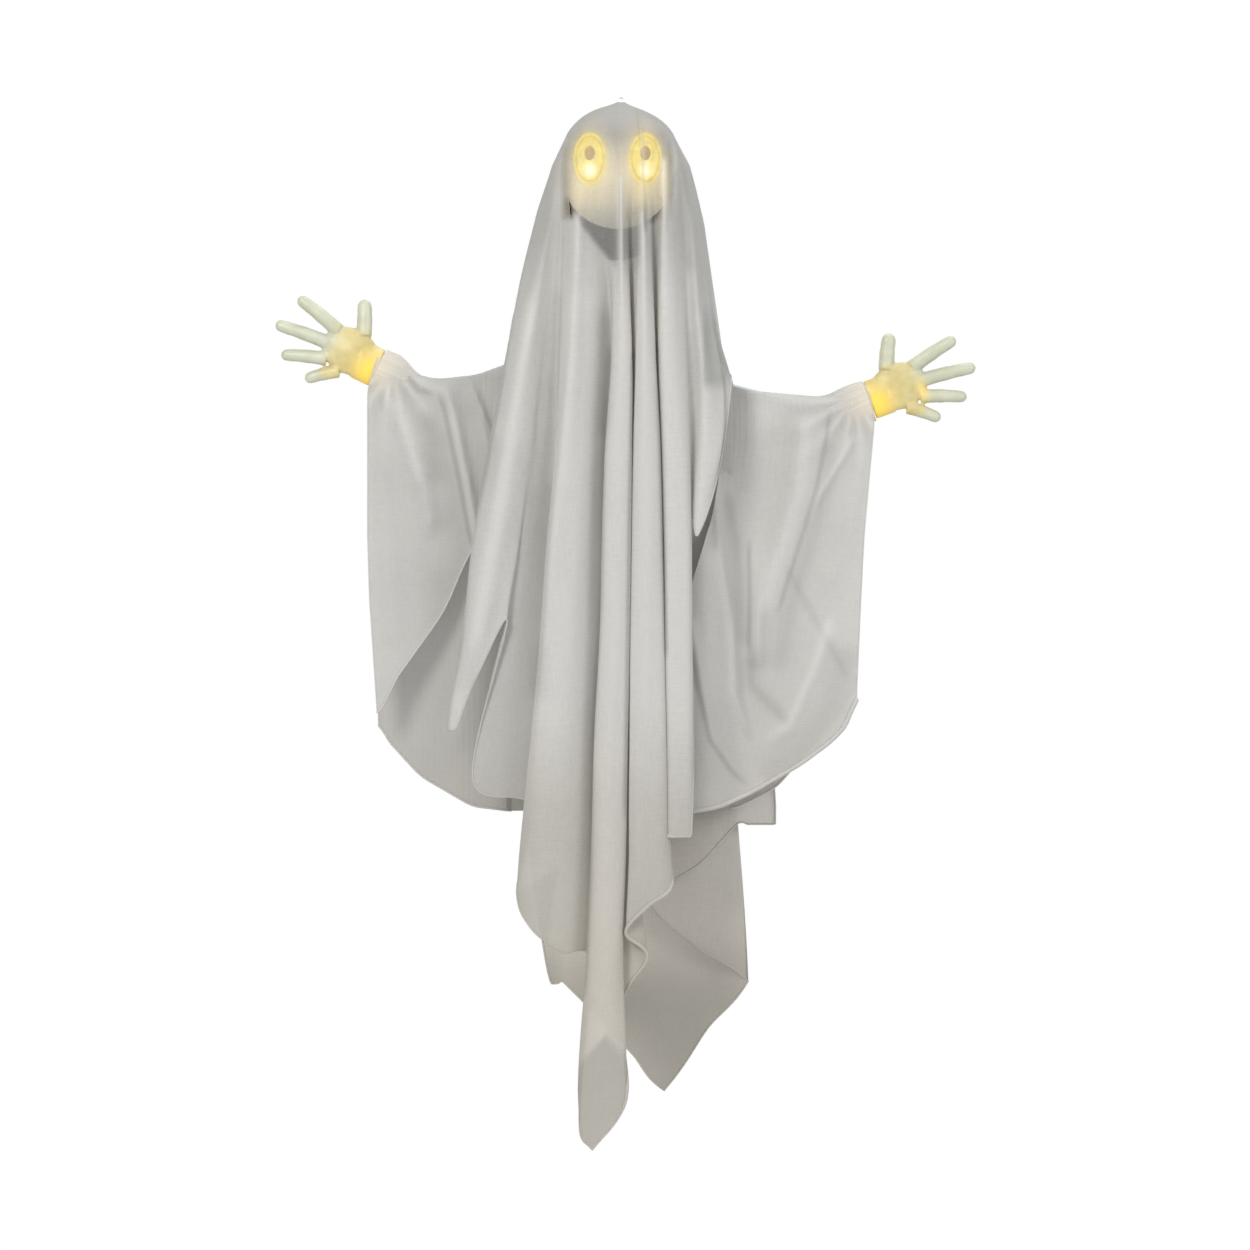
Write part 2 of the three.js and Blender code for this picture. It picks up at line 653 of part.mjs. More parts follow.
function buildHand(name, arm) {
  const outside = joined(
    ellipsoid(palm.along, palm.across, palm.halfLength, palm.halfDepth, palm.halfWidth, 14, 8),
    wristBarrel(0, palm.along / 2, wristHalfDepth, wristHalfHeight, 16),
    ...fingers.map(finger),
  );
  const inside = joined(
    ellipsoid(palm.along, palm.across, palm.halfLength - handWall, palm.halfDepth - handWall,
      palm.halfWidth - handWall, 12, 6),
    wristBarrel(handBackWall, palm.along / 2, wristHalfDepth - handWall, wristHalfHeight - handWall, 16),
  );
  const bore = rod(wristPlugRadius + clearance, 4 * handBackWall, 0, 0, 0, alongX);
  add(`${name}_hand`, onWrist(cut(outside, inside, bore), arm), 'vinyl');
}

// A cloth cuff is an open tube that ends where the hand begins
function buildCuff(name, arm) {
  const ring = (grow, length) => {
    const tube = new THREE.CylinderGeometry(1, cuffTaper, length, roundSides, 1).rotateZ(Math.PI / 2);
    tube.scale(1, cuffHalfDepth + grow, cuffHalfHeight + grow);
    return place(tube, -cuffLength / 2 - 2 * clearance, 0, 0);
  };
  const cuff = cut(ring(0, cuffLength), ring(-clothThickness, cuffLength + beyond));
  add(`${name}_cuff`, onWrist(cuff, arm), 'cloth');
}

// Cloth: a grid of points is the middle of the sheet, and the solid is offset half a thickness to each side
function sheetSolid(columns, rows, closed, pointAt) {
  const grid = [];
  for (let i = 0; i < columns; i += 1) {
    const across = i / (closed ? columns : columns - 1);
    grid.push(Array.from({ length: rows }, (_, j) => pointAt(across, j / (rows - 1))));
  }
  const within = (k, count) => Math.min(Math.max(k, 0), count - 1);
  const at = (i, j) => grid[closed ? (i + columns) % columns : within(i, columns)][within(j, rows)];
  // The normal at a fold line lies halfway between those of the two layers beside it
  const normalAt = (i, j) => {
    const down = at(i, j + 1).clone().sub(at(i, j - 1));
    const layers = [[i - 1, i], [i, i + 1]].map(([from, to]) => at(to, j).clone().sub(at(from, j)));
    const [before, after] = layers.map((across) => across.cross(down).normalize());
    return before.add(after).normalize();
  };
  const positions = [];
  for (const side of [1, -1]) {
    for (let i = 0; i < columns; i += 1) {
      for (let j = 0; j < rows; j += 1) {
        const offset = normalAt(i, j).multiplyScalar((side * clothThickness) / 2);
        positions.push(...at(i, j).clone().add(offset).toArray());
      }
    }
  }
  const half = columns * rows;
  const id = (side, i, j) => side * half + (i % columns) * rows + j;
  const index = [];
  const quad = (a, b, c, d) => index.push(a, b, c, a, c, d);
  const lastColumn = closed ? columns : columns - 1;
  for (let i = 0; i < lastColumn; i += 1) {
    for (let j = 0; j < rows - 1; j += 1) {
      quad(id(0, i, j), id(0, i + 1, j), id(0, i + 1, j + 1), id(0, i, j + 1));
      quad(id(1, i, j), id(1, i, j + 1), id(1, i + 1, j + 1), id(1, i + 1, j));
    }
    quad(id(0, i, 0), id(1, i, 0), id(1, i + 1, 0), id(0, i + 1, 0));
    quad(id(0, i, rows - 1), id(0, i + 1, rows - 1), id(1, i + 1, rows - 1), id(1, i, rows - 1));
  }
  if (!closed) {
    for (let j = 0; j < rows - 1; j += 1) {
      quad(id(0, 0, j), id(0, 0, j + 1), id(1, 0, j + 1), id(1, 0, j));
      const last = columns - 1;
      quad(id(0, last, j), id(1, last, j), id(1, last, j + 1), id(0, last, j + 1));
    }
  }
  const geometry = new THREE.BufferGeometry();
  geometry.setAttribute('position', new THREE.BufferAttribute(new Float32Array(positions), 3));
  geometry.setIndex(index);
  return geometry;
}

const { lerp, smoothstep } = THREE.MathUtils;

// The veil: one line per fold, as its bearing round the crown in degrees from the front, and the x, y and z
// where it meets the hem, from back centre to back centre. Lines further out are ridges, and those nearer the
// middle are the valleys between them. At the sides the hem lies over the shoulders.
const veilHem = [
  [-180, 18, 96, -1393], [-166, -24, 102, -1350], [-153, -56, 92, -1314], [-140, -84, 96, -1286],
  [-127, -110, 80, -1256], [-114, -150, 64, -905], [-104, -158, 22, -352], [-95, -163, -12, -350],
  [-86, -250, -76, -913], [-76, -222, -90, -868], [-70, -196, -66, -940], [-66, -172, -84, -757],
  [-62, -160, -70, -1000], [-55, -148, -94, -1149], [-44, -131, -106, -1202], [-31, -86, -98, -1237],
  [-17, -63, -84, -1254], [-4, -59, -106, -1479], [4, -42, -116, -1520], [11, 7, -104, -1453],
  [19, 16, -84, -1314], [28, 24, -104, -1209], [35, 38, -114, -1171], [42, 66, -100, -1143],
  [49, 70, -80, -1091], [56, 76, -106, -1068], [63, 102, -98, -1066], [71, 120, -74, -860],
  [78, 136, -86, -633], [85, 143, -72, -545], [92, 158, -36, -372], [99, 160, 4, -368],
  [106, 164, 30, -374], [113, 226, 56, -1028], [120, 196, 86, -1076], [127, 176, 80, -1150],
  [134, 180, 92, -1250], [142, 172, 100, -1300], [152, 128, 100, -1352], [166, 63, 98, -1445],
];
const veilTopHoleRadius = loopHalfWidth + loopWireRadius + 2 * clearance; // buttonhole for the loop
const veilPeakHeight = 5;
const veilPeakRadius = 12;
const veilPeakShift = 20; // within this distance the peak gives way to the dome over the head
const veilDomeRadius = headRadius + veilStandOff + clothThickness;
const veilSpread = 82; // how far the sides flare from the head to the shoulders
const veilFlareZ = -375;
const veilFoldStartZ = -170;
const veilDomeRows = 5;
const veilDepths = [130, 180, 250, 340, 480, 700, 1000, 1520]; // of the rows under the dome
const veilHemRowGap = 14; // rows that would fall below the hem gather just above it
const veilRows = veilDomeRows + 1 + veilDepths.length;

// A point over the head: an ellipse of revolution with a small peak at the buttonhole
function domePoint(angle, turn) {
  const radius = Math.max(veilDomeRadius * Math.sin(turn), veilTopHoleRadius);
  const peak = veilPeakHeight * Math.exp(-((radius / veilPeakRadius) ** 2));
  const level = Math.sqrt(Math.max(1 - (radius / veilDomeRadius) ** 2, 0));
  const height = (crownHeight + veilStandOff + clothThickness / 2) * level;
  const shift = headX * (1 - Math.exp((veilTopHoleRadius - radius) / veilPeakShift));
  const [x, y] = [shift + radius * Math.sin(angle), -radius * Math.cos(angle)];
  return new THREE.Vector3(x, y, headWidestZ + height + peak);
}

function veilPoint(across, down) {
  const [degrees, hemX, hemY, hemZ] = veilHem[Math.round(across * veilHem.length)];
  const angle = THREE.MathUtils.degToRad(degrees);
  const row = Math.round(down * (veilRows - 1));
  if (row <= veilDomeRows) {
    return domePoint(angle, (Math.PI / 2) * (row / veilDomeRows));
  }
  const z = Math.max(-veilDepths[row - veilDomeRows - 1], hemZ + veilHemRowGap * (veilRows - 1 - row));
  const flare = veilSpread * ((headWidestZ - z) / (headWidestZ - veilFlareZ)) ** 0.75;
  const drapedX = headX + (veilDomeRadius + Math.min(flare, veilSpread)) * Math.sin(angle);
  const drapedY = -(veilDomeRadius + 4) * Math.cos(angle);
  const hang = THREE.MathUtils.clamp((veilFoldStartZ - z) / (veilFoldStartZ - hemZ), 0, 1);
  return new THREE.Vector3(lerp(drapedX, hemX, hang), lerp(drapedY, hemY, hang), z);
}

// The robe under the veil: a front and a back panel gathered at the neck, spread over the hub, then hanging
const robeNeckZ = -258;
const robeShoulderZ = -374;
const robeLeftX = -168;
const robeRightX = 164;
const robeSideGap = 10; // each panel stays this far from the arm wires
const robeFrontHemZ = -1010;
const robeBackHemZ = -1034;
const robeColumns = 25;
const robeRows = 8;
const robeGatherRows = 2; // rows of the sheet above the shoulder
const robeFoldCount = 8;
const robeFoldDepth = 9;
const robeBelly = 14; // how much further out the panels hang in the middle
const robeFlare = 22; // and at the hem

function robePoint(side, hemZ) {
  return (across, down) => {
    const neckRadius = tubeRadius + clearance + clothThickness / 2;
    const angle = Math.PI * across;
    const neckY = Math.max(neckRadius * Math.sin(angle), clothThickness);
    const neck = new THREE.Vector3(-neckRadius * Math.cos(angle), side * neckY, robeNeckZ);
    const belly = Math.sin(angle);
    const shoulderY = side * (robeSideGap + robeBelly * belly);
    const shoulder = new THREE.Vector3(lerp(robeLeftX, robeRightX, across), shoulderY, robeShoulderZ);
    const gather = robeGatherRows / (robeRows - 1);
    if (down <= gather) {
      return neck.lerp(shoulder, down / gather);
    }
    const t = (down - gather) / (1 - gather);
    const fold = robeFoldDepth * Math.sin(Math.PI * robeFoldCount * across) * smoothstep(t, 0, 0.6) * belly;
    const y = shoulder.y + side * (robeFlare * t + fold);
    return new THREE.Vector3(shoulder.x, y, lerp(robeShoulderZ, hemZ, t));
  };
}

// A sleeve lies over the arm wire as far as the cuff and hangs in front of and behind it, out to the wrist.
// Its hem outlines are [x, z] from shoulder to wrist, and the other lengths are distances from the middle.
const sleeves = {
  left: {
    inner: 172,
    frontHem: [[-172, -600], [-218, -655], [-258, -744], [-334, -850], [-366, -880]],
    backHem: [[-172, -1034], [-217, -1026], [-293, -983], [-346, -925], [-366, -870]],
    outerTop: 291,
    outer: 368,
  },
  right: {
    inner: 168,
    frontHem: [[168, -1018], [261, -966], [308, -930], [337, -890], [366, -845]],
    backHem: [[168, -1030], [226, -1000], [300, -915], [337, -870], [366, -830]],
    outerTop: 291,
    outer: 366,
  },
};

const archAngles = [0, Math.PI / 4, Math.PI / 2]; // rows over the arm, then rows down to the hem
const sleeveFalls = [0.08, 0.2, 0.36, 0.52, 0.68, 0.84, 1];
const sleeveSideRows = archAngles.length - 1 + sleeveFalls.length;
const sleeveColumns = 11;
const sleeveFoldCount = 2;
const sleeveFoldDepth = 7;
const sleeveFlare = 16; // how much further out its front and back hang at the hem
const archHeight = (armWireRadius + clearance + clothThickness / 2) / Math.cos(archAngles[1] / 2);

function sleevePoint(sleeve, arm) {
  return (across, down) => {
    const row = Math.round((2 * across - 1) * sleeveSideRows);
    const side = Math.sign(row);
    const step = Math.abs(row);
    const fall = step < archAngles.length ? 0 : sleeveFalls[step - archAngles.length];
    const turn = archAngles[Math.min(step, archAngles.length - 1)];
    const outer = lerp(sleeve.outerTop, sleeve.outer, smoothstep(fall, 0, 0.2));
    const x = arm.side * lerp(sleeve.inner, outer, down);
    const flank = lerp(archHeight, cuffHalfDepth + 3, smoothstep(Math.abs(x), 200, sleeve.outerTop));
    const top = routeHeight(arm, x) + archHeight * Math.cos(turn);
    const hem = heightOn(side < 0 ? sleeve.frontHem : sleeve.backHem, x);
    const wave = Math.sin(2 * Math.PI * sleeveFoldCount * down + 1);
    const fold = sleeveFoldDepth * wave * smoothstep(fall, 0.1, 0.6);
    const y = side * (flank * Math.sin(turn) + sleeveFlare * fall + fold);
    return new THREE.Vector3(x, y, lerp(top, hem, fall));
  };
}

function buildCloth() {
  add('veil', sheetSolid(veilHem.length, veilRows, true, veilPoint), 'cloth');
  add('robe_front', sheetSolid(robeColumns, robeRows, false, robePoint(-1, robeFrontHemZ)), 'cloth');
  add('robe_back', sheetSolid(robeColumns, robeRows, false, robePoint(1, robeBackHemZ)), 'cloth');
  for (const [name, sleeve] of Object.entries(sleeves)) {
    const point = sleevePoint(sleeve, arms[name]);
    add(`${name}_sleeve`, sheetSolid(2 * sleeveSideRows + 1, sleeveColumns, false, point), 'cloth');
  }
}

buildHead();
buildEye('left', -1);
buildEye('right', 1);
buildEyeLamps();
buildHanger();
buildTube();
buildEyeLead();
buildHub();
buildCase();
buildCells();
for (const [name, arm] of Object.entries(arms)) {
  buildArm(name, arm);
  buildHand(name, arm);
  buildCuff(name, arm);
}
buildCloth();

export default parts;
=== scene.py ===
# %% [markdown]
# # Hanging ghost decoration
# A life-size ghost that hangs by a loop at its crown. The CAD frame brings the hard parts; this script
# dresses it with the cloth, the smooth plastic head, the glowing eyes and the glowing vinyl hands, and lights
# it plainly. "Left" and "right" are the viewer's, -Y is the front, and sizes in the tables are millimetres.

# %% Frame
import json
import math

import bpy
import numpy as np
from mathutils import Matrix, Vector


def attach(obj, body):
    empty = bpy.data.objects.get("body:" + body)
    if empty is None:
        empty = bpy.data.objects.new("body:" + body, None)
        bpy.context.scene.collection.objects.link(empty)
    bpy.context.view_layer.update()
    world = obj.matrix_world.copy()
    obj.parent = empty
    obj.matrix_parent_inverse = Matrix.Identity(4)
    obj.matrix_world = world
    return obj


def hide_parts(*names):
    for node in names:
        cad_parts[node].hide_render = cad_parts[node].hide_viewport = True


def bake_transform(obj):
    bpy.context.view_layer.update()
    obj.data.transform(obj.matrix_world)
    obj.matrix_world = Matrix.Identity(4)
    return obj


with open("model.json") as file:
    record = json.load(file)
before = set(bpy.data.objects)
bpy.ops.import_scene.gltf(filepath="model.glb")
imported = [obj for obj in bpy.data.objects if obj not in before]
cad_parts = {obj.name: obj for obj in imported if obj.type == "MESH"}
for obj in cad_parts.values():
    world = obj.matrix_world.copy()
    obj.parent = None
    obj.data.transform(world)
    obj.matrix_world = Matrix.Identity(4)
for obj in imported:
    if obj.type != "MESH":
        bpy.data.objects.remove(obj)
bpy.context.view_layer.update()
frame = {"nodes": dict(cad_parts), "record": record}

MM = 0.001

# %% [markdown]
# ## Camera
# The photograph is a plain front view, nearly without perspective. An orthographic camera would have none at
# all, so a long lens twenty metres away is used: the frame is as wide as the photograph's field, and its
# middle is at the height of the ghost's waist.

# %% Camera
FIELD_WIDTH = 1.823
CAMERA_DISTANCE = 20.0
SENSOR_WIDTH = 36.0
FRAME_CENTRE = (0.0058, -0.7627)

camera_data = bpy.data.cameras.new("camera")
camera_data.sensor_width = SENSOR_WIDTH
camera_data.lens = SENSOR_WIDTH * CAMERA_DISTANCE / FIELD_WIDTH
camera_data.clip_end = 50
camera = bpy.data.objects.new("camera", camera_data)
camera.location = (FRAME_CENTRE[0], -CAMERA_DISTANCE, FRAME_CENTRE[1])
camera.rotation_euler = (math.pi / 2, 0, 0)
bpy.context.scene.collection.objects.link(camera)
bpy.context.scene.camera = camera
bpy.context.scene.view_settings.view_transform = "Standard"
print("camera lens (mm):", round(camera_data.lens, 1))

# %% [markdown]
# ## Curves
# Real folds run in long smooth lines. A cloth simulation would make some, but not where the photograph has
# them, so each line is given at a few knots, and a cubic through the knots makes it smooth again.

# %% Curves


def cubic(knots, at, closed=False):
    """Catmull-Rom curve through knots (first axis) at fractional indices `at`."""
    knots = np.asarray(knots, float)
    count = len(knots)
    base = np.floor(at).astype(int)
    if not closed:
        base = np.clip(base, 0, count - 2)
    t = (at - base).reshape((-1,) + (1,) * (knots.ndim - 1))

    def pick(step):
        index = base + step
        return knots[index % count if closed else np.clip(index, 0, count - 1)]

    p0, p1, p2, p3 = pick(-1), pick(0), pick(1), pick(2)
    return p1 + 0.5 * t * (p2 - p0 + t * (2 * p0 - 5 * p1 + 4 * p2 - p3 + t * (3 * (p1 - p2) + p3 - p0)))


def smooth(t, low, high):
    """0 below low, 1 above high, with a smooth turn at both ends."""
    t = np.clip((t - low) / (high - low), 0, 1)
    return t * t * (3 - 2 * t)


def ridge_depth(ridges, x, z, fade=30.0):
    """Sum of ridges: height times a Gaussian of the distance to a line of (z, x), faded at both ends."""
    depth = np.zeros(np.broadcast_shapes(x.shape, z.shape))
    for height, width, *path in ridges:
        path = np.array(path, float)
        lengths = np.linalg.norm(np.diff(path, axis=0), axis=1)
        nearest, along = np.full(depth.shape, 1e6), np.zeros(depth.shape)
        passed = np.cumsum(lengths) - lengths
        for start, step, length, before in zip(path, np.diff(path, axis=0), lengths, passed):
            share = np.clip(((z - start[0]) * step[0] + (x - start[1]) * step[1]) / length ** 2, 0, 1)
            away = np.hypot(z - start[0] - share * step[0], x - start[1] - share * step[1])
            along = np.where(away < nearest, before + share * length, along)
            nearest = np.minimum(nearest, away)
        ends = smooth(along, -1, fade) * smooth(lengths.sum() - along, -1, fade)
        depth = depth + height * ends * np.exp(-(nearest / width) ** 2)
    return depth


print("cubic half way between 1 and 4:", cubic(np.array([0.0, 1, 4, 5]), np.array([1.5])))

# %% [markdown]
# ## From points to meshes
# Every soft surface here is an array of points in rows and columns, worked out at once by numpy. Neighbours
# in the array become the corners of one face, so that the topology is clean and nothing has to be modelled by
# hand.

# %% Meshes
materials = {}


def add_mesh(name, points, faces, slot=None, body=None):
    """A smooth-shaded mesh object from points in millimetres, with its slot's material, riding on a body."""
    mesh = bpy.data.meshes.new(name)
    mesh.from_pydata((np.asarray(points) * MM).tolist(), [], faces)
    mesh.polygons.foreach_set("use_smooth", np.ones(len(mesh.polygons), bool))
    mesh.update()
    thing = bpy.data.objects.new(name, mesh)
    bpy.context.scene.collection.objects.link(thing)
    if slot:
        mesh.materials.append(materials[slot])
    if body:
        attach(thing, body)
    return thing


def grid_faces(rows, columns, wrap=False, flip=False):
    """Quads between neighbours of a rows x columns grid; wrap joins the last column to the first."""
    row = np.arange(rows - 1)[:, None]
    column = np.arange(columns if wrap else columns - 1)[None, :]
    after = (column + 1) % columns
    quads = np.stack([row * columns + column, row * columns + after, (row + 1) * columns + after,
                      (row + 1) * columns + column], -1).reshape(-1, 4)
    return (quads[:, ::-1] if flip else quads).tolist()


def add_grid(name, grid, wrap=False, flip=False, **kept):
    """A mesh whose vertices are the points of a (rows, columns, 3) grid."""
    rows, columns = grid.shape[:2]
    return add_mesh(name, grid.reshape(-1, 3), grid_faces(rows, columns, wrap, flip), **kept)


def add_values(thing, name, values):
    """A number per vertex, which a material reads as an attribute."""
    layer = thing.data.attributes.new(name, "FLOAT", "POINT")
    layer.data.foreach_set("value", np.asarray(values, float).ravel())


print("faces of a grid of 3 x 3 points:", len(grid_faces(3, 3)))

# %% Tubes


def frames_along(line, closed=False):
    """Two unit normals along a line: the cross product of its direction with a fixed guide, then theirs."""
    if closed:
        tangent = np.roll(line, -1, 0) - np.roll(line, 1, 0)
    else:
        tangent = np.gradient(line, axis=0)
    tangent /= np.linalg.norm(tangent, axis=1, keepdims=True) + 1e-9
    guide = np.where(np.abs(tangent[:, 1:2]) > 0.9, [[0.0, 0, 1]], [[0.0, 1, 0]])
    side = np.cross(tangent, guide)
    side /= np.linalg.norm(side, axis=1, keepdims=True)
    return side, np.cross(side, tangent)


def tube_grid(line, radius, sides=8, closed=False):
    """A round section swept along a line: each ring is the line's point plus radius times cosine and sine."""
    side, up = frames_along(line, closed)
    turn = np.arange(sides) * 2 * math.pi / sides
    radius = np.broadcast_to(np.asarray(radius, float), (len(line),))[:, None, None]
    return line[:, None] + radius * (np.cos(turn)[None, :, None] * side[:, None]
                                     + np.sin(turn)[None, :, None] * up[:, None])


def add_tube(name, line, radius, sides=8, closed=False, **kept):
    """A swept tube: a ring of its own, or an open one with both ends capped."""
    points = tube_grid(line, radius, sides, closed).reshape(-1, 3)
    rows = len(line)
    faces = grid_faces(rows, sides, wrap=True, flip=True)
    if closed:
        ring = np.arange(sides)
        last = (rows - 1) * sides
        after = (ring + 1) % sides
        faces += np.stack([last + ring, ring, after, last + after], -1)[:, ::-1].tolist()
    else:
        faces += [list(range(sides)), list(range(rows * sides - 1, (rows - 1) * sides - 1, -1))]
    return add_mesh(name, points, faces, **kept)


print("rings and sides of a short tube:", tube_grid(np.array([[0.0, 0, 0], [0, 0, 1]]), 1.0).shape[:2])

# %% [markdown]
# ## Shader nodes
# A material is a graph of nodes. Built by hand in the editor it would be slow to change, so a small class
# adds a node in one call and links whatever it is given: a number fills a socket, and another node's output
# is wired to it.

# %% Shader nodes


class Nodes:
    """Short calls that add nodes to one material."""

    def __init__(self, name):
        self.material = bpy.data.materials.new(name)
        self.material.use_nodes = True
        self.tree = self.material.node_tree
        self.tree.nodes.clear()

    def add(self, kind, operation=None, **inputs):
        """Adds one node; i0, i1 and so on name its inputs by number, other keywords by name."""
        node = self.tree.nodes.new(kind)
        if operation:
            node.operation = operation
        for key, value in inputs.items():
            numbered = key[0] == "i" and key[1:].isdigit()
            self.feed(node.inputs[int(key[1:]) if numbered else key.replace("_", " ")], value)
        return node

    def feed(self, socket, value):
        """Wires another node's output to a socket, or fills the socket with a plain value."""
        if isinstance(value, bpy.types.NodeSocket):
            self.tree.links.new(value, socket)
        else:
            socket.default_value = value

    def math(self, operation, a, b=0.0, c=0.0):
        """One sum, product or other operation on numbers."""
        return self.add("ShaderNodeMath", operation, i0=a, i1=b, i2=c).outputs[0]

    def mix(self, factor, a, b):
        """Colour a where the factor is 0 and colour b where it is 1."""
        node = self.add("ShaderNodeMix")
        node.data_type = "RGBA"
        for number, value in ((0, factor), (6, a), (7, b)):
            self.feed(node.inputs[number], value)
        return node.outputs[2]

    def attribute(self, name):
        """The number that add_values stored at the vertices."""
        node = self.add("ShaderNodeAttribute")
        node.attribute_name = name
        return node.outputs["Fac"]

    def place(self):
        """The point in the object's own coordinates, in metres."""
        return self.add("ShaderNodeTexCoord").outputs["Object"]

    def noise(self, place, scale, detail, **more):
        """Smooth noise of 0 to 1, with about `scale` blobs to the metre."""
        return self.add("ShaderNodeTexNoise", Vector=place, Scale=scale, Detail=detail, **more).outputs["Fac"]

    def around(self, value, spread):
        """A value of 0 to 1 as a change of up to half the spread either way."""
        return self.math("MULTIPLY", self.math("SUBTRACT", value, 0.5), spread)

    def scaled(self, vector, factors):
        """Each part of a vector or colour times its own factor."""
        return self.add("ShaderNodeVectorMath", "MULTIPLY", i0=vector, i1=factors).outputs[0]

    def ramp(self, value, low, high):
        """0 at low, 1 at high, straight between and level outside."""
        return self.add("ShaderNodeMapRange", Value=value, From_Min=low, From_Max=high).outputs[0]

    def bump(self, height, strength, distance):
        """A normal tilted as a surface of that height would be."""
        return self.add("ShaderNodeBump", Height=height, Strength=strength, Distance=distance).outputs[0]

    def finish(self, shader):
        """Sends the shader to the output and returns the material."""
        output = self.add("ShaderNodeOutputMaterial")
        self.tree.links.new(shader.outputs[0], output.inputs["Surface"])
        return self.material


def rgb(red, green, blue):
    """Linear colour from sRGB values of 0 to 255."""
    levels = [v / 255 for v in (red, green, blue)]
    return tuple(((v + 0.055) / 1.055) ** 2.4 if v > 10 / 255 else v / 12.92 for v in levels) + (1.0,)


print("middle grey in linear light:", round(rgb(128, 128, 128)[0], 3))

# %% [markdown]
# ## Cloth
# The cloth is a thin polyester voile: light comes through it and it lets what lies behind show a little. Its
# shader mixes a transparent part (the gaps of the weave) with a diffuse part and a translucent part (light
# from behind). The inside of a fold gets less light than the outside, which the back face's darker colour
# stands for. Painted textures would need an unwrapped cloth, so the weave is noise in object space, stretched
# along each thread.

# %% Cloth material
ACROSS_THREADS, ALONG_THREADS = 900.0, 60.0
CLOUD_SCALE, CLOUD_SPREAD, WEAVE_SPREAD, GAP_SPREAD = 11.0, 0.3, 0.35, 0.2
INSIDE_COVER, MOST_COVER = 0.93, 0.98
# Painted shade: towards the hem the cloth's colour is made a little darker and yellower
HEM_SHADE_FROM, HEM_SHADE_TO, HEM_SHADE_TINT = -0.85, -1.25, (0.95, 0.915, 0.85)  # the hem is a little yellower than the top
# Colour of the painted glow that the eye and wrist lamps cast on the cloth, and its strength near the wrists
WARM_LIGHT, WRIST_GLOW = (1.0, 0.72, 0.2, 1), 0.3
THROUGH_LIGHT = 0.25
HALO_EDGE, HALO_FRONT = 0.85, (-0.02, -0.05)


def painted_eye_glow(n, place, eyes):
    """Painted warm glow round each eye, as emission (x, z, half sizes in metres, strength, reach): full
    inside its oval, and outside it strength times the square of what is left of the way to the reach."""
    axes = n.add("ShaderNodeSeparateXYZ", Vector=place)
    total = None
    for x, z, half_width, half_height, strength, reach in eyes:
        across = n.math("DIVIDE", n.math("SUBTRACT", axes.outputs[0], x), half_width)
        up = n.math("DIVIDE", n.math("SUBTRACT", axes.outputs[2], z), half_height)
        away = n.math("SQRT", n.math("ADD", n.math("MULTIPLY", across, across), n.math("MULTIPLY", up, up)))
        glow = n.math("MULTIPLY", n.math("POWER", n.ramp(away, reach, HALO_EDGE), 2.0), strength)
        total = glow if total is None else n.math("ADD", total, glow)
    return n.math("MULTIPLY", total, n.ramp(axes.outputs[1], *HALO_FRONT))


def cloth_material(name, light, shade, inner, opacity, eyes=()):
    """Voile: the attribute cover says how little shows through, and tone is painted light and shade; eyes, or
    else the attribute warm, give a painted glow.
    """
    n = Nodes(name)
    place = n.place()
    behind = n.add("ShaderNodeNewGeometry").outputs["Backfacing"]
    cloud = n.noise(place, CLOUD_SCALE, 4.0)
    threads = [n.noise(n.scaled(place, stretch), 1.0, 1.0)
               for stretch in ((ACROSS_THREADS, ACROSS_THREADS, ALONG_THREADS),
                               (ALONG_THREADS, ALONG_THREADS, ACROSS_THREADS))]
    weave = n.math("MULTIPLY", n.math("ADD", *threads), 0.5)
    # Painted light and shade: the tone attribute picks between the shaded and the light colour, with random
    # cloud and weave
    tone = n.math("ADD", n.attribute("tone"), n.around(cloud, CLOUD_SPREAD))
    tone = n.math("ADD", tone, n.around(weave, WEAVE_SPREAD))
    outside, inside = [n.mix(n.ramp(tone, 0.0, 1.0), dark, light) for dark in (shade, inner)]
    colour = n.mix(behind, outside, inside)
    # Painted shade, darker and yellower towards the hem
    height = n.add("ShaderNodeSeparateXYZ", Vector=place).outputs[2]
    colour = n.mix(n.ramp(height, HEM_SHADE_FROM, HEM_SHADE_TO), colour, n.scaled(colour, HEM_SHADE_TINT))
    cover = n.math("MULTIPLY", n.attribute("cover"), opacity)
    cover = n.math("ADD", cover, n.around(weave, GAP_SPREAD))
    cover = n.math("MAXIMUM", cover, n.math("MULTIPLY", behind, INSIDE_COVER))
    cover = n.math("MINIMUM", cover, MOST_COVER)
    normal = n.bump(weave, 0.15, 0.0004)
    # Painted glow: emission on the cloth round the eyes or near the wrist lamps, standing in for their light
    warm = painted_eye_glow(n, place, eyes) if eyes else n.math("MULTIPLY", n.attribute("warm"), WRIST_GLOW)
    surface = n.add("ShaderNodeBsdfPrincipled", Base_Color=colour, Roughness=0.75, Normal=normal,
                    Sheen_Weight=0.1, Emission_Color=WARM_LIGHT, Emission_Strength=warm)
    through = n.add("ShaderNodeBsdfTranslucent", Color=colour, Normal=normal)
    solid = n.add("ShaderNodeMixShader", i0=THROUGH_LIGHT, i1=surface.outputs[0], i2=through.outputs[0])
    clear = n.add("ShaderNodeBsdfTransparent")
    return n.finish(n.add("ShaderNodeMixShader", i0=cover, i1=clear.outputs[0], i2=solid.outputs[0]))


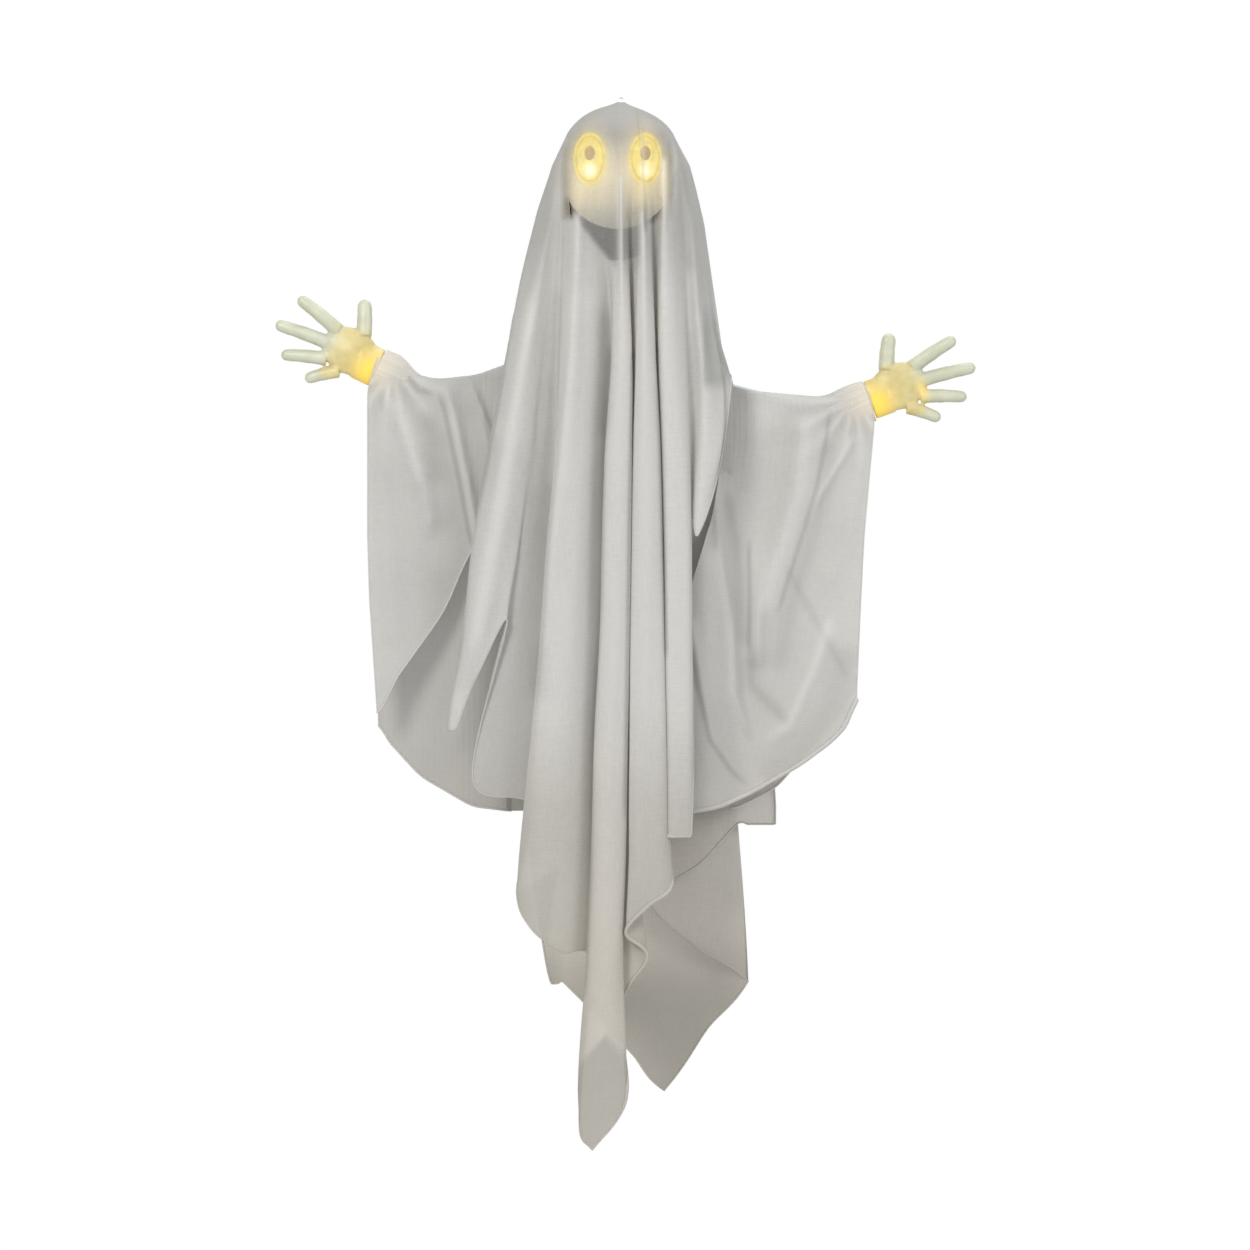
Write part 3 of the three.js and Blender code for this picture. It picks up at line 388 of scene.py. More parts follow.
# Painted glow on the veil round the eyes, and painted bright streaks under them where the veil's folds would
# catch their light
EYES = (
    (-0.0455, -0.087, 0.024, 0.040, 0.3, 2.1), (0.0355, -0.087, 0.024, 0.041, 0.3, 2.1),
    (-0.064, -0.138, 0.008, 0.016, 0.3, 2.4), (0.063, -0.125, 0.006, 0.026, 0.22, 2.2),
    (0.030, -0.135, 0.006, 0.014, 0.2, 2.2),
)
# Painted light and shade: tone picks between the light and the shaded colour, and the inner colour is the
# painted shade of the cloth's back face
SHADED = rgb(178, 177, 172)
VEIL_LIGHT, VEIL_INNER = rgb(218, 215, 210), rgb(166, 163, 156)
materials["veil_cloth"] = cloth_material("veil_voile", VEIL_LIGHT, SHADED, VEIL_INNER, 0.95, EYES)
materials["robe_cloth"] = cloth_material("robe_voile", rgb(216, 213, 208), SHADED, rgb(176, 174, 168), 0.97)
print("cloth materials:", list(materials))

# %% [markdown]
# ## Plastic, metal and lamps
# The hard parts are plain moulded plastic, drawn wire and small lamps. They are hardly seen, so one material
# with a mottle and a grain serves them all, and a lamp is the same with light of its own.

# %% Hard materials
MOTTLE_SCALE = 35.0
# Painted glow of the eye lamps on the face plastic round each eye
FACE_PAINTED_GLOW = ((-0.0455, -0.118, 0.03, 0.04, 0.3, 2.6), (0.0355, -0.118, 0.03, 0.04, 0.3, 2.6))


def plastic_material(name, colour, roughness=0.5, metallic=0.0, grain=300.0, spread=0.06, eyes=()):
    """Moulded or drawn part with a faint mottle and a fine surface grain; with eyes, a painted glow round
    them.
    """
    n = Nodes(name)
    place = n.place()
    fine = n.noise(place, grain, 2.0)
    tone = n.ramp(n.noise(place, MOTTLE_SCALE, 4.0), 0.3, 0.7)
    shade = n.mix(tone, tuple(v * (1 - 2 * spread) for v in colour[:3]) + (1,), colour)
    rough = n.math("ADD", n.math("MULTIPLY", fine, 0.15), roughness - 0.07)
    shader = n.add("ShaderNodeBsdfPrincipled", Base_Color=shade, Metallic=metallic, Roughness=rough,
                   Normal=n.bump(fine, 0.2, 0.0002))
    # Painted glow: emission round the eyes on plastic that is no lamp
    if eyes:
        shader.inputs["Emission Color"].default_value = (1.0, 0.84, 0.5, 1)
        n.tree.links.new(painted_eye_glow(n, place, eyes), shader.inputs["Emission Strength"])
    return n.finish(shader)


def glow_material(name, colour, strength, body):
    """A lamp or a lit pupil: plain plastic that shines."""
    n = Nodes(name)
    power = n.math("MULTIPLY", n.ramp(n.noise(n.place(), 60.0, 2.0), 0.2, 0.8), strength)
    return n.finish(n.add("ShaderNodeBsdfPrincipled", Base_Color=body, Roughness=0.35, Emission_Color=colour,
                          Emission_Strength=power))


materials |= {
    "mask_plastic": plastic_material("mask_plastic", rgb(236, 236, 230), 0.5, eyes=FACE_PAINTED_GLOW),
    "mouth_black": plastic_material("mouth_black", rgb(46, 46, 44), 0.7),
    "black_plastic": plastic_material("black_plastic", rgb(38, 38, 40), 0.55),
    "wire_steel": plastic_material("wire_steel", rgb(196, 198, 202), 0.35, 1.0, 900.0, 0.03),
    "pipe_plastic": plastic_material("pipe_plastic", rgb(236, 236, 232), 0.4),
    "lead": plastic_material("lead_insulation", rgb(238, 238, 234), 0.45),
    "cell": plastic_material("cell_sleeve", rgb(60, 90, 130), 0.35),
    "lamp": glow_material("lamp", rgb(255, 238, 190), 9.0, rgb(255, 245, 215)),
    "pupil": glow_material("pupil", (0.9, 0.5, 0.02, 1), 0.62, rgb(130, 88, 20)),
}
for part in frame["record"]["subparts"]:
    node = frame["nodes"].get(part["node"])
    if node is not None and part["material_slot"] in materials:
        node.data.materials.clear()
        node.data.materials.append(materials[part["material_slot"]])
print("materials:", len(materials))

# %% [markdown]
# ## Head
# The head is a hollow egg of moulded plastic in two halves, with oval eye openings and a crescent grin. It
# could be sculpted, but a revolved profile is as smooth as the moulding and is cut by prisms as a drawing
# would have it. Its sizes are those of the CAD head, so lenses and panel sit where they fit.

# %% Egg
HEAD_X = -5.0
HEAD_RADIUS = 83.0
WIDEST_Z = -95.0
CROWN_HEIGHT = 87.0
CHIN_DEPTH = 151.0
JAW = 2.6
HEAD_WALL = 2.5


def egg_grid(grow, rows=96, sides=128):
    """Half ellipse above the widest level, superellipse with a squarer jaw below, turned about Z."""
    turn = np.linspace(math.pi / 2, -math.pi / 2, rows)
    power = np.where(turn > 0, 1.0, 2 / JAW)
    radius = (HEAD_RADIUS + grow) * np.abs(np.cos(turn)) ** power
    reach = np.where(turn > 0, CROWN_HEIGHT, CHIN_DEPTH) + grow
    height = WIDEST_Z + np.sign(turn) * reach * np.abs(np.sin(turn)) ** power
    around = np.arange(sides) * 2 * math.pi / sides
    return np.stack([HEAD_X + radius[:, None] * np.sin(around), -radius[:, None] * np.cos(around),
                     np.broadcast_to(height[:, None], (rows, sides))], -1)


def closed_egg(name, grow):
    """The egg as a closed solid: its grid, with a fan of triangles to one point at each pole."""
    grid = egg_grid(grow)
    rows, sides = grid.shape[:2]
    inner = grid[1:-1].reshape(-1, 3)
    points = np.vstack([inner, grid[0, :1], grid[-1, :1]])
    faces = grid_faces(rows - 2, sides, wrap=True)
    top, low, base = len(inner), len(inner) + 1, (rows - 3) * sides
    faces += [[top, (i + 1) % sides, i] for i in range(sides)]
    faces += [[low, base + i, base + (i + 1) % sides] for i in range(sides)]
    return add_mesh(name, points, [f[::-1] for f in faces])


print("egg grid:", egg_grid(0).shape)

# %% Outlines and cuts
SEAM = 0.3
EYE_SPACING, EYE_Z, EYE_HALF_WIDTH, EYE_HALF_HEIGHT = 81.0, -85.0, 24.0, 39.0
CORNER_INSET, CORNER_Z, UPPER_DROP, LOWER_DROP = 12.4, -145.7, 41.3, 86.3


def prism(name, outline, back, front):
    """An outline of (x, z) points as a solid from y = back to y = front."""
    count = len(outline)
    points = np.array([(x, y, z) for y in (back, front) for x, z in outline])
    faces = [[i, (i + 1) % count, count + (i + 1) % count, count + i] for i in range(count)]
    faces += [list(range(count))[::-1], list(range(count, 2 * count))]
    return add_mesh(name, points, faces)


def oval(x, z, half_width, half_height, count=72):
    """Points round an ellipse: its centre plus the half sizes times cosine and sine."""
    turn = np.arange(count) * 2 * math.pi / count
    return np.stack([x + half_width * np.cos(turn), z + half_height * np.sin(turn)], -1)


def grin_outline(count=40):
    """Two arcs through the same corners, with the middle of each lip so far below them."""
    half = HEAD_RADIUS - CORNER_INSET
    lines = []
    for drop, way in ((UPPER_DROP, 1), (LOWER_DROP, -1)):
        radius = (half ** 2 + drop ** 2) / (2 * drop)
        x = np.linspace(-half, half, count) * way
        lines.append(np.stack([HEAD_X + x, CORNER_Z - drop + radius - np.sqrt(radius ** 2 - x ** 2)], -1))
    return np.vstack([lines[0], lines[1][1:-1]])


print("points round the grin:", len(grin_outline()))

# %% Head
PAST_HEAD = 200.0  # the cutting prisms end this far out


def bake(thing):
    """Replaces the mesh by what its modifiers make of it."""
    view = bpy.context.view_layer
    view.update()
    mesh = bpy.data.meshes.new_from_object(thing.evaluated_get(bpy.context.evaluated_depsgraph_get()))
    thing.modifiers.clear()
    thing.data = mesh
    mesh.polygons.foreach_set("use_smooth", np.ones(len(mesh.polygons), bool))


def carve(thing, tools, operation="DIFFERENCE"):
    """Boolean cut, baked into the mesh; the tools are removed."""
    for tool in tools:
        cut = thing.modifiers.new("cut", "BOOLEAN")
        cut.operation = operation
        cut.object = tool
        cut.solver = "EXACT"
    bake(thing)
    for tool in tools:
        bpy.data.objects.remove(tool)


def head_half(name, side, cuts):
    """The egg less a smaller egg and the cuts, as far as a box on one side of the seam reaches."""
    shell = closed_egg(name, 0)
    half = prism("half", [(x, z) for x, z in zip((-PAST_HEAD, PAST_HEAD, PAST_HEAD, -PAST_HEAD),
                                                 (-2 * PAST_HEAD, -2 * PAST_HEAD, PAST_HEAD, PAST_HEAD))],
                 *sorted((side * SEAM / 2, side * PAST_HEAD)))
    carve(shell, [closed_egg("hollow", -HEAD_WALL)] + cuts)
    carve(shell, [half], "INTERSECT")
    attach(shell, "root")
    shell.data.materials.append(materials["mask_plastic"])
    edges = shell.modifiers.new("edges", "EDGE_SPLIT")
    edges.split_angle = math.radians(40)
    return shell


eye_centres = [HEAD_X + side * EYE_SPACING / 2 for side in (-1, 1)]
eye_ovals = [oval(x, EYE_Z, EYE_HALF_WIDTH, EYE_HALF_HEIGHT) for x in eye_centres]
eye_cuts = [prism("eye_cut", outline, -PAST_HEAD, 0) for outline in eye_ovals]
grin_cut = prism("grin_cut", grin_outline(), -PAST_HEAD, 0)
face = head_half("ghost_face", -1, eye_cuts + [grin_cut])
nape = head_half("ghost_nape", 1, [])
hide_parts("face_shell")
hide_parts("back_shell")
print("head:", len(face.data.polygons), len(nape.data.polygons))

# %% [markdown]
# ## Eyes
# Each eye is a frosted lens that bulges from its oval opening, lit from behind by a lamp low in its middle,
# with a darker oval pupil. The glow is strongest at the lamp and falls off towards the rim, where a thin ring
# shows. A lamp behind real glass would be slow and noisy to render, so the lens shines by itself, as bright
# as attributes say.

# %% Eye surface


def egg_radius(z, grow):
    """The egg's radius at height z, from the ellipse above its widest level and the superellipse below."""
    rise = np.asarray(z) - WIDEST_Z
    above = np.sqrt(np.clip(1 - (rise / (CROWN_HEIGHT + grow)) ** 2, 0, 1))
    below = np.clip(1 - (np.abs(rise) / (CHIN_DEPTH + grow)) ** JAW, 0, 1) ** (1 / JAW)
    return (HEAD_RADIUS + grow) * np.where(rise > 0, above, below)


def on_egg(x, z, grow):
    """y of the egg's front at x and z, grown outwards."""
    return -np.sqrt(np.clip(egg_radius(z, grow) ** 2 - (x - HEAD_X) ** 2, 0, None))


print("face front at eye height (mm):", round(float(on_egg(HEAD_X, EYE_Z, 0)), 1))

# %% Eye material
RING_AT, RING_HALF_WIDTH, RING_DIM = 0.84, 0.05, 0.45
HOT_GAIN = 0.7


def eye_material():
    """Light from inside, times a darker ring near the rim, plus what the hot spot adds."""
    n = Nodes("eye_lens")
    rho, hot = n.attribute("rho"), n.attribute("hot")
    cloud = n.noise(n.place(), 90.0, 3.0)
    from_ring = n.math("ABSOLUTE", n.math("SUBTRACT", rho, RING_AT))
    ring = n.math("SUBTRACT", 1.0, n.math("MULTIPLY", n.ramp(from_ring, RING_HALF_WIDTH, 0.0), RING_DIM))
    warm = n.mix(n.ramp(rho, 0.1, 1.0), (1.0, 0.86, 0.16, 1), (1.0, 0.78, 0.05, 1))
    colour = n.mix(hot, warm, (1, 0.98, 0.72, 1))
    power = n.math("MULTIPLY", ring, n.math("ADD", 1.0, n.math("MULTIPLY", hot, HOT_GAIN)))
    power = n.math("MULTIPLY", power, n.ramp(cloud, -0.6, 0.75))
    return n.finish(n.add("ShaderNodeBsdfPrincipled", Base_Color=rgb(120, 100, 50), Roughness=0.4,
                          Emission_Color=colour, Emission_Strength=power))


materials["eye_lens"] = eye_material()
print("eye material:", materials["eye_lens"].name)

# %% Eyes
LENS_PROUD, LENS_BULGE, LENS_RIM, PUPIL_PROUD = 0.6, 2.0, 6, 0.7
PUPIL_HALF_WIDTH, PUPIL_HALF_HEIGHT, PUPIL_RISE = 7.5, 10.5, 8.0
HOT_DROP, HOT_RADIUS = 17.0, 10.0
EYE_SIDES = 72
turn = np.arange(EYE_SIDES) * 2 * math.pi / EYE_SIDES
for name, x0 in zip(("left", "right"), eye_centres):
    rho = np.linspace(0.02, 1, 24)[:, None]
    x = x0 + (EYE_HALF_WIDTH - SEAM) * rho * np.cos(turn)
    z = EYE_Z + (EYE_HALF_HEIGHT - SEAM) * rho * np.sin(turn)
    y = on_egg(x, z, LENS_PROUD) - LENS_BULGE * (1 - rho ** 2)
    rim = np.stack([x[-1], y[-1] + LENS_RIM, z[-1]], -1)[None]
    grid = np.vstack([np.stack([x, y, z], -1), rim])
    lens = add_grid(f"{name}_lens", grid, wrap=True, slot="eye_lens", body="root")
    values = np.broadcast_to(rho, x.shape)
    hot = np.exp(-((x - x0) ** 2 + (z - EYE_Z + HOT_DROP) ** 2) / HOT_RADIUS ** 2)
    add_values(lens, "rho", np.vstack([values, np.ones((1, EYE_SIDES))]))
    add_values(lens, "hot", np.vstack([hot, hot[-1:]]))
    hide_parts(f"{name}_eye_lens")

    rho = np.linspace(0.02, 1, 8)[:, None]
    x = x0 + PUPIL_HALF_WIDTH * rho * np.cos(turn)
    z = EYE_Z + PUPIL_RISE + PUPIL_HALF_HEIGHT * rho * np.sin(turn)
    y = on_egg(x, z, LENS_PROUD) - LENS_BULGE - PUPIL_PROUD
    spot = add_grid(f"{name}_pupil_disc", np.stack([x, y, z], -1), wrap=True, slot="pupil", body="root")
    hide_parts(f"{name}_eye_pupil")
print("eyes: 2 lenses, 2 pupils")

# %% [markdown]
# ## Veil
# The veil is one long cloth of voile with a corner at the front and at the back, laid over the head, so its
# hem falls in points. A cloth simulation would not fall in the photograph's pleats, so it is made as a loft:
# each line below is one fold, from the brow to the hem, picked from the photograph in millimetres as
# (x, y, z). Lines that stand forward are ridges, those further back are the valleys between them. Where a
# valley runs behind its neighbour the cloth overlaps itself in an S, which gives the pleats sharp dark edges.

# %% Veil folds in front


def line(turn, *points):
    """One fold: its bearing round the crown in degrees and its points."""
    return turn, np.array(points, float)


FRONT_FOLDS = {
    "left_side": line(-97, (-101, 5, -95), (-125, 8, -181), (-155, 2, -303), (-163, -8, -350)),
    "left_edge": line(-86, (-101, -20, -95), (-125, -28, -172), (-152, -42, -287), (-166, -58, -375),
        (-188, -68, -500), (-217, -72, -649), (-230, -74, -785), (-251, -76, -913)),
    "flap_ridge": line(-76, (-95, -50, -95), (-109, -60, -181), (-128, -72, -270), (-144, -88, -375),
        (-163, -96, -508), (-184, -98, -649), (-200, -94, -755), (-214, -88, -846)),
    "flap_inner": line(-70, (-89, -60, -95), (-99, -66, -181), (-118, -74, -375), (-131, -80, -508),
        (-149, -82, -649), (-165, -84, -757)),
    "strip": line(-66, (-85, -64, -95), (-92, -68, -181), (-105, -70, -375), (-117, -72, -508),
        (-134, -72, -649), (-165, -70, -785), (-185, -66, -872), (-216, -62, -987)),
    "pleat_1_valley": line(-63, (-82, -68, -95), (-86, -70, -181), (-92, -72, -375), (-93, -70, -508),
        (-99, -68, -649), (-108, -68, -785), (-120, -70, -913), (-131, -70, -1025)),
    "pleat_1_left": line(-59, (-77, -74, -95), (-80, -80, -181), (-86, -92, -375), (-95, -96, -508),
        (-108, -94, -649), (-118, -94, -785), (-130, -94, -913), (-143, -92, -1047), (-151, -90, -1149)),
    "pleat_1_crest": line(-47, (-64, -88, -95), (-64, -100, -181), (-73, -113, -375), (-88, -116, -537),
        (-99, -116, -649), (-106, -114, -785), (-114, -112, -913), (-121, -110, -1065), (-131, -106, -1202)),
    "pleat_1_right": line(-31, (-45, -90, -95), (-47, -92, -181), (-51, -100, -375), (-58, -106, -508),
        (-64, -107, -649), (-69, -107, -785), (-74, -106, -913), (-80, -104, -1065), (-86, -100, -1237)),
    "pleat_2_valley": line(-17, (-28, -86, -95), (-26, -84, -181), (-13, -76, -347), (-18, -76, -508),
        (-22, -76, -649), (-25, -76, -785), (-31, -78, -913), (-35, -80, -1065), (-45, -82, -1254)),
    "pleat_2_left": line(-2, (-9, -92, -95), (-7, -96, -187), (-13, -106, -375), (-23, -108, -508),
        (-28, -108, -649), (-31, -108, -785), (-39, -108, -930), (-44, -108, -1105), (-53, -108, -1295),
        (-63, -108, -1426), (-61, -108, -1479)),
    "pleat_2_crest": line(4, (-1, -95, -95), (0, -104, -187), (1, -117, -375), (-4, -119, -508),
        (-7, -119, -649), (-10, -119, -785), (-16, -119, -930), (-20, -119, -1105), (-26, -118, -1295),
        (-34, -117, -1426), (-42, -115, -1524)),
    "pleat_2_right": line(12, (7, -90, -95), (7, -96, -187), (16, -106, -375), (16, -108, -508),
        (15, -108, -649), (13, -108, -785), (10, -108, -930), (7, -108, -1105), (1, -107, -1280),
        (6, -106, -1412), (7, -105, -1453)),
    "pleat_3_valley": line(19, (18, -84, -95), (15, -82, -187), (13, -78, -375), (12, -78, -508),
        (9, -78, -649), (7, -78, -785), (6, -78, -930), (4, -80, -1105), (1, -84, -1314)),
    "pleat_3_curl": line(24, (24, -88, -92), (22, -92, -184), (20, -96, -375), (17, -96, -508),
        (14, -96, -649), (13, -96, -785), (13, -97, -930), (16, -98, -1080), (38, -96, -1244)),
    "pleat_3_left": line(28, (29, -93, -85), (26, -102, -181), (23, -110, -375), (20, -111, -508),
        (18, -111, -649), (16, -111, -785), (15, -111, -930), (12, -110, -1091), (7, -108, -1209)),
    "pleat_3_crest": line(35, (35, -95, -95), (34, -106, -181), (36, -118, -375), (38, -119, -508),
        (38, -119, -649), (38, -118, -785), (39, -117, -930), (39, -116, -1076), (38, -114, -1171)),
    "pleat_3_right": line(41, (41, -88, -95), (41, -92, -181), (50, -102, -375), (57, -104, -508),
        (60, -104, -649), (63, -104, -785), (66, -104, -930), (69, -103, -1065), (73, -102, -1143)),
    "pleat_4_valley": line(48, (48, -80, -95), (50, -78, -181), (51, -74, -375), (57, -74, -486),
        (60, -74, -649), (63, -74, -785), (66, -74, -930), (70, -76, -1091)),
    "pleat_4_left": line(56, (57, -84, -95), (59, -96, -181), (58, -106, -375), (63, -108, -508),
        (66, -108, -649), (67, -108, -785), (69, -107, -930), (69, -106, -1068)),
    "pleat_4_right": line(64, (67, -80, -95), (70, -90, -181), (77, -102, -347), (92, -104, -508),
        (97, -104, -649), (99, -103, -785), (101, -102, -930), (102, -100, -1066)),
    "right_valley": line(72, (82, -64, -95), (89, -66, -181), (98, -72, -318), (104, -76, -464),
        (102, -78, -551), (101, -80, -610)),
    "right_flap": line(79, (90, -50, -95), (104, -60, -181), (114, -76, -318), (123, -88, -435),
        (120, -94, -537), (111, -92, -633)),
    "right_flap_edge": line(85, (96, -30, -95), (112, -40, -181), (124, -50, -303), (147, -66, -405),
        (150, -76, -471), (141, -80, -545)),
    "right_flap_top": line(91, (99, -8, -95), (115, -14, -181), (125, -30, -275), (120, -44, -330),
        (115, -52, -366), (136, -58, -395), (160, -54, -412)),
    "right_side": line(99, (101, 14, -95), (121, 12, -181), (133, 2, -289), (141, -4, -347), (154, 0, -400)),
}
print("front folds:", len(FRONT_FOLDS))

# %% Veil folds behind
BACK_FOLDS = {
    "right_back": line(106, (100, 40, -95), (122, 46, -180), (134, 40, -290), (143, 30, -350),
        (156, 24, -392)),
    "right_tail": line(112, (90, 58, -95), (112, 62, -180), (136, 66, -300), (148, 62, -375), (168, 58, -510),
        (182, 58, -650), (203, 60, -860), (226, 62, -1028)),
    "tail_turn": line(115, (85, 62, -95), (104, 66, -180), (129, 70, -300), (143, 66, -375), (148, 60, -510),
        (150, 58, -650), (156, 58, -860), (172, 58, -1052)),
    "mid_panel": line(119, (80, 66, -95), (96, 70, -180), (118, 74, -300), (130, 70, -375), (132, 62, -510),
        (128, 58, -650), (122, 56, -860), (117, 56, -1110)),
    "mid_turn": line(126, (70, 72, -95), (84, 76, -180), (104, 80, -300), (116, 76, -375), (104, 70, -510),
        (88, 66, -650), (62, 64, -900), (44, 64, -1166)),
    "inner_panel": line(133, (62, 78, -95), (74, 82, -180), (96, 86, -300), (110, 82, -375), (112, 76, -510),
        (112, 73, -650), (112, 72, -900), (110, 74, -1234)),
    "right_corner": line(141, (52, 82, -95), (64, 87, -180), (90, 92, -300), (112, 90, -375), (130, 86, -510),
        (144, 84, -650), (164, 84, -950), (187, 86, -1284)),
    "back_right": line(152, (38, 86, -95), (46, 91, -180), (66, 97, -300), (84, 98, -375), (92, 97, -510),
        (100, 96, -650), (112, 96, -950), (128, 98, -1352)),
    "back_tip": line(166, (16, 88, -95), (20, 93, -180), (32, 99, -300), (44, 100, -375), (50, 98, -510),
        (54, 97, -650), (58, 96, -950), (63, 98, -1445)),
    "back_middle": line(180, (-5, 88, -95), (-5, 93, -180), (2, 98, -300), (8, 99, -375), (12, 97, -510),
        (14, 95, -650), (16, 94, -950), (18, 96, -1393)),
    "back_4": line(194, (-27, 87, -95), (-32, 92, -180), (-38, 99, -375), (-36, 102, -510), (-34, 103, -650),
        (-30, 103, -950), (-24, 102, -1350)),
    "back_3": line(207, (-46, 82, -95), (-56, 86, -180), (-74, 92, -375), (-70, 92, -510), (-68, 91, -650),
        (-62, 90, -950), (-56, 92, -1314)),
    "back_2": line(220, (-64, 76, -95), (-78, 80, -180), (-104, 86, -375), (-102, 92, -510), (-98, 96, -650),
        (-92, 96, -950), (-84, 96, -1286)),
    "back_corner": line(233, (-80, 66, -95), (-98, 70, -180), (-130, 72, -375), (-130, 76, -510),
        (-126, 76, -650), (-120, 76, -950), (-110, 80, -1256)),
    "back_left": line(246, (-92, 48, -95), (-114, 52, -180), (-148, 50, -375), (-152, 60, -510),
        (-154, 62, -650), (-150, 64, -905)),
    "left_back": line(256, (-99, 28, -95), (-121, 32, -180), (-146, 26, -300), (-158, 22, -352)),
}
FOLDS = FRONT_FOLDS | BACK_FOLDS
print("veil folds:", len(FOLDS))

# %% [markdown]
# ## From folds to cloth
# Over the crown the cloth lies on the head, so there each fold runs over a dome. Below it the folds take
# over. A cubic from fold to fold rounds the pleats, and beside a corner of the cloth it gives way to straight
# lines.

# %% Veil dome
BUTTONHOLE = 5.4
SINK = 20.0
# The dome's right side stands further out, as in the photograph
WIDER_RIGHT, WIDER_FROM, WIDER_TO = 7, 25, 73
PEAK_HEIGHT, PEAK_RADIUS = 5.0, 12.0
DOME_RADIUS, DOME_HEIGHT = 87.7, 90.7


def dome_point(turn, radius):
    """A point of the dome over the head: an ellipse, plus a Gaussian for the small peak at the buttonhole."""
    radius = np.asarray(radius, float)
    height = (DOME_HEIGHT * np.sqrt(1 - (radius / DOME_RADIUS) ** 2)
              + PEAK_HEIGHT * np.exp(-(radius / PEAK_RADIUS) ** 2))
    angle = math.radians(turn)
    shift = HEAD_X * (1 - np.exp((BUTTONHOLE - radius) / SINK))
    shift += WIDER_RIGHT * max(math.sin(angle), 0) * smooth(radius, WIDER_FROM, WIDER_TO)
    return np.stack([shift + radius * math.sin(angle), -radius * math.cos(angle), WIDEST_Z + height], -1)


def dome_radius_at(z):
    """The ellipse's radius at height z."""
    return DOME_RADIUS * math.sqrt(1 - ((z - WIDEST_Z) / DOME_HEIGHT) ** 2)


print("veil peak (mm):", dome_point(0, BUTTONHOLE).round(1))

# %% Veil grid
DOME_JOIN, DOME_GUIDE = -45.0, -20.0  # the folds take over from the dome at the first level
SAMPLES = 10
DOME_ROWS, FALL_ROWS = 18, 190
POINTED, SHARPNESS, POINT_FROM = ("pleat_2_crest", "right_corner", "back_tip"), 0.85, 0.85


def fold_rows(fold):
    """All rows of one fold: over the dome, then down the picked points by height."""
    turn, points = fold
    join_radius = dome_radius_at(DOME_JOIN)
    over = dome_point(turn, np.linspace(BUTTONHOLE, join_radius, DOME_ROWS, endpoint=False))
    knots = np.vstack([dome_point(turn, [dome_radius_at(DOME_GUIDE), join_radius]), points])
    z = np.linspace(DOME_JOIN, points[-1, 2], FALL_ROWS)
    index = np.interp(-z, -knots[:, 2], np.arange(len(knots)))
    down = cubic(knots, index)
    down[:, 2] = z
    return np.vstack([over, down])


def veil_grid():
    """Folds joined by a cubic; between two folds no row runs lower or higher than at the folds. At the hem
    the cubic gives way to straight lines beside the pointed folds."""
    columns = np.stack([fold_rows(fold) for fold in FOLDS.values()])
    at = np.arange(len(columns) * SAMPLES) / SAMPLES
    grid = cubic(columns, at, closed=True)
    before = np.floor(at).astype(int)
    near, far = columns[before], columns[(before + 1) % len(columns)]
    low, high = np.minimum(near, far)[..., 2], np.maximum(near, far)[..., 2]
    grid[..., 2] = np.clip(grid[..., 2], low - 2, high + 2)
    share = (at % 1)[:, None, None]
    straight = near * (1 - share) + far * share
    names = list(FOLDS)
    reach = np.max([np.clip(1 - np.abs(at - names.index(name)), 0, 1) for name in POINTED], 0)
    hem = smooth(np.linspace(0, 1, grid.shape[1]), POINT_FROM, 1)
    point = SHARPNESS * (reach[:, None] * hem)[..., None]
    return (grid * (1 - point) + straight * point).transpose(1, 0, 2)


print("veil grid:", veil_grid().shape)

# %% Veil surface
RIPPLES = (23, 41, 67)  # how many fine folds go round the cloth
VEIL_RIPPLE, VEIL_RIPPLE_FROM = 0.5, 0.15


def ripple(grid, amplitude, start, seed, wrap=True):
    """Fine folds: three sines round the cloth whose phase drifts downwards, growing from `start`."""
    rng = np.random.default_rng(seed)
    rows, columns = grid.shape[:2]
    across = np.linspace(0, 2 * math.pi, columns, endpoint=not wrap)[None, :]
    down = np.linspace(0, 1, rows)[:, None]
    wave = np.zeros((rows, columns))
    for count in RIPPLES:
        phase, drift = rng.uniform(0, 2 * math.pi, 2)
        turn = count * across + phase + drift * down * 3 + 1.5 * np.sin(3 * down + phase)
        wave += np.sin(turn) / count * RIPPLES[0]
    normal = np.cross(np.gradient(grid, axis=1), np.gradient(grid, axis=0))
    normal /= np.linalg.norm(normal, axis=2, keepdims=True) + 1e-9
    return grid + normal * (amplitude * wave * smooth(down, start, start + 0.5))[..., None]


CREASES = [  # depth, width and a line of (z, x) down the forehead
    (5.0, 3.0, (-14, 26), (-44, 29), (-77, 32), (-143, 36), (-200, 38)),
    (2.0, 2.6, (-40, -14), (-55, -12), (-96, -4), (-143, -3), (-190, -2)),
    (-2.5, 3.5, (-50, 55), (-66, 59), (-146, 63), (-190, 64)),
]


def crease(grid):
    """Presses narrow folds into the front of the cloth: each is a ridge along a picked line."""
    grid = grid.copy()
    grid[..., 1] += ridge_depth(CREASES, grid[..., 0], grid[..., 2], 12) * smooth(-grid[..., 1], 20, 45)
    return grid


veil_points = crease(ripple(veil_grid(), VEIL_RIPPLE, VEIL_RIPPLE_FROM, 3))
veil = add_grid("veil_voile", veil_points, wrap=True, flip=True, slot="veil_cloth", body="root")
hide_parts("veil")
print("veil:", len(veil.data.polygons), "faces")

# %% [markdown]
# ## Light and dark in the veil
# Where sheer cloth lies double it looks lighter, and where one layer hangs over a gap it looks darker. Real
# layers of see-through cloth would be noisy and slow to render, so this is painted as values per point: tone
# is painted light and shade, for how light the cloth looks, and cover is how little shows through. The
# painted tone is also lighter on what stands forward and darker in the valleys, on the crown and towards the
# hem.
# They follow the folds and the streaks of the photograph.

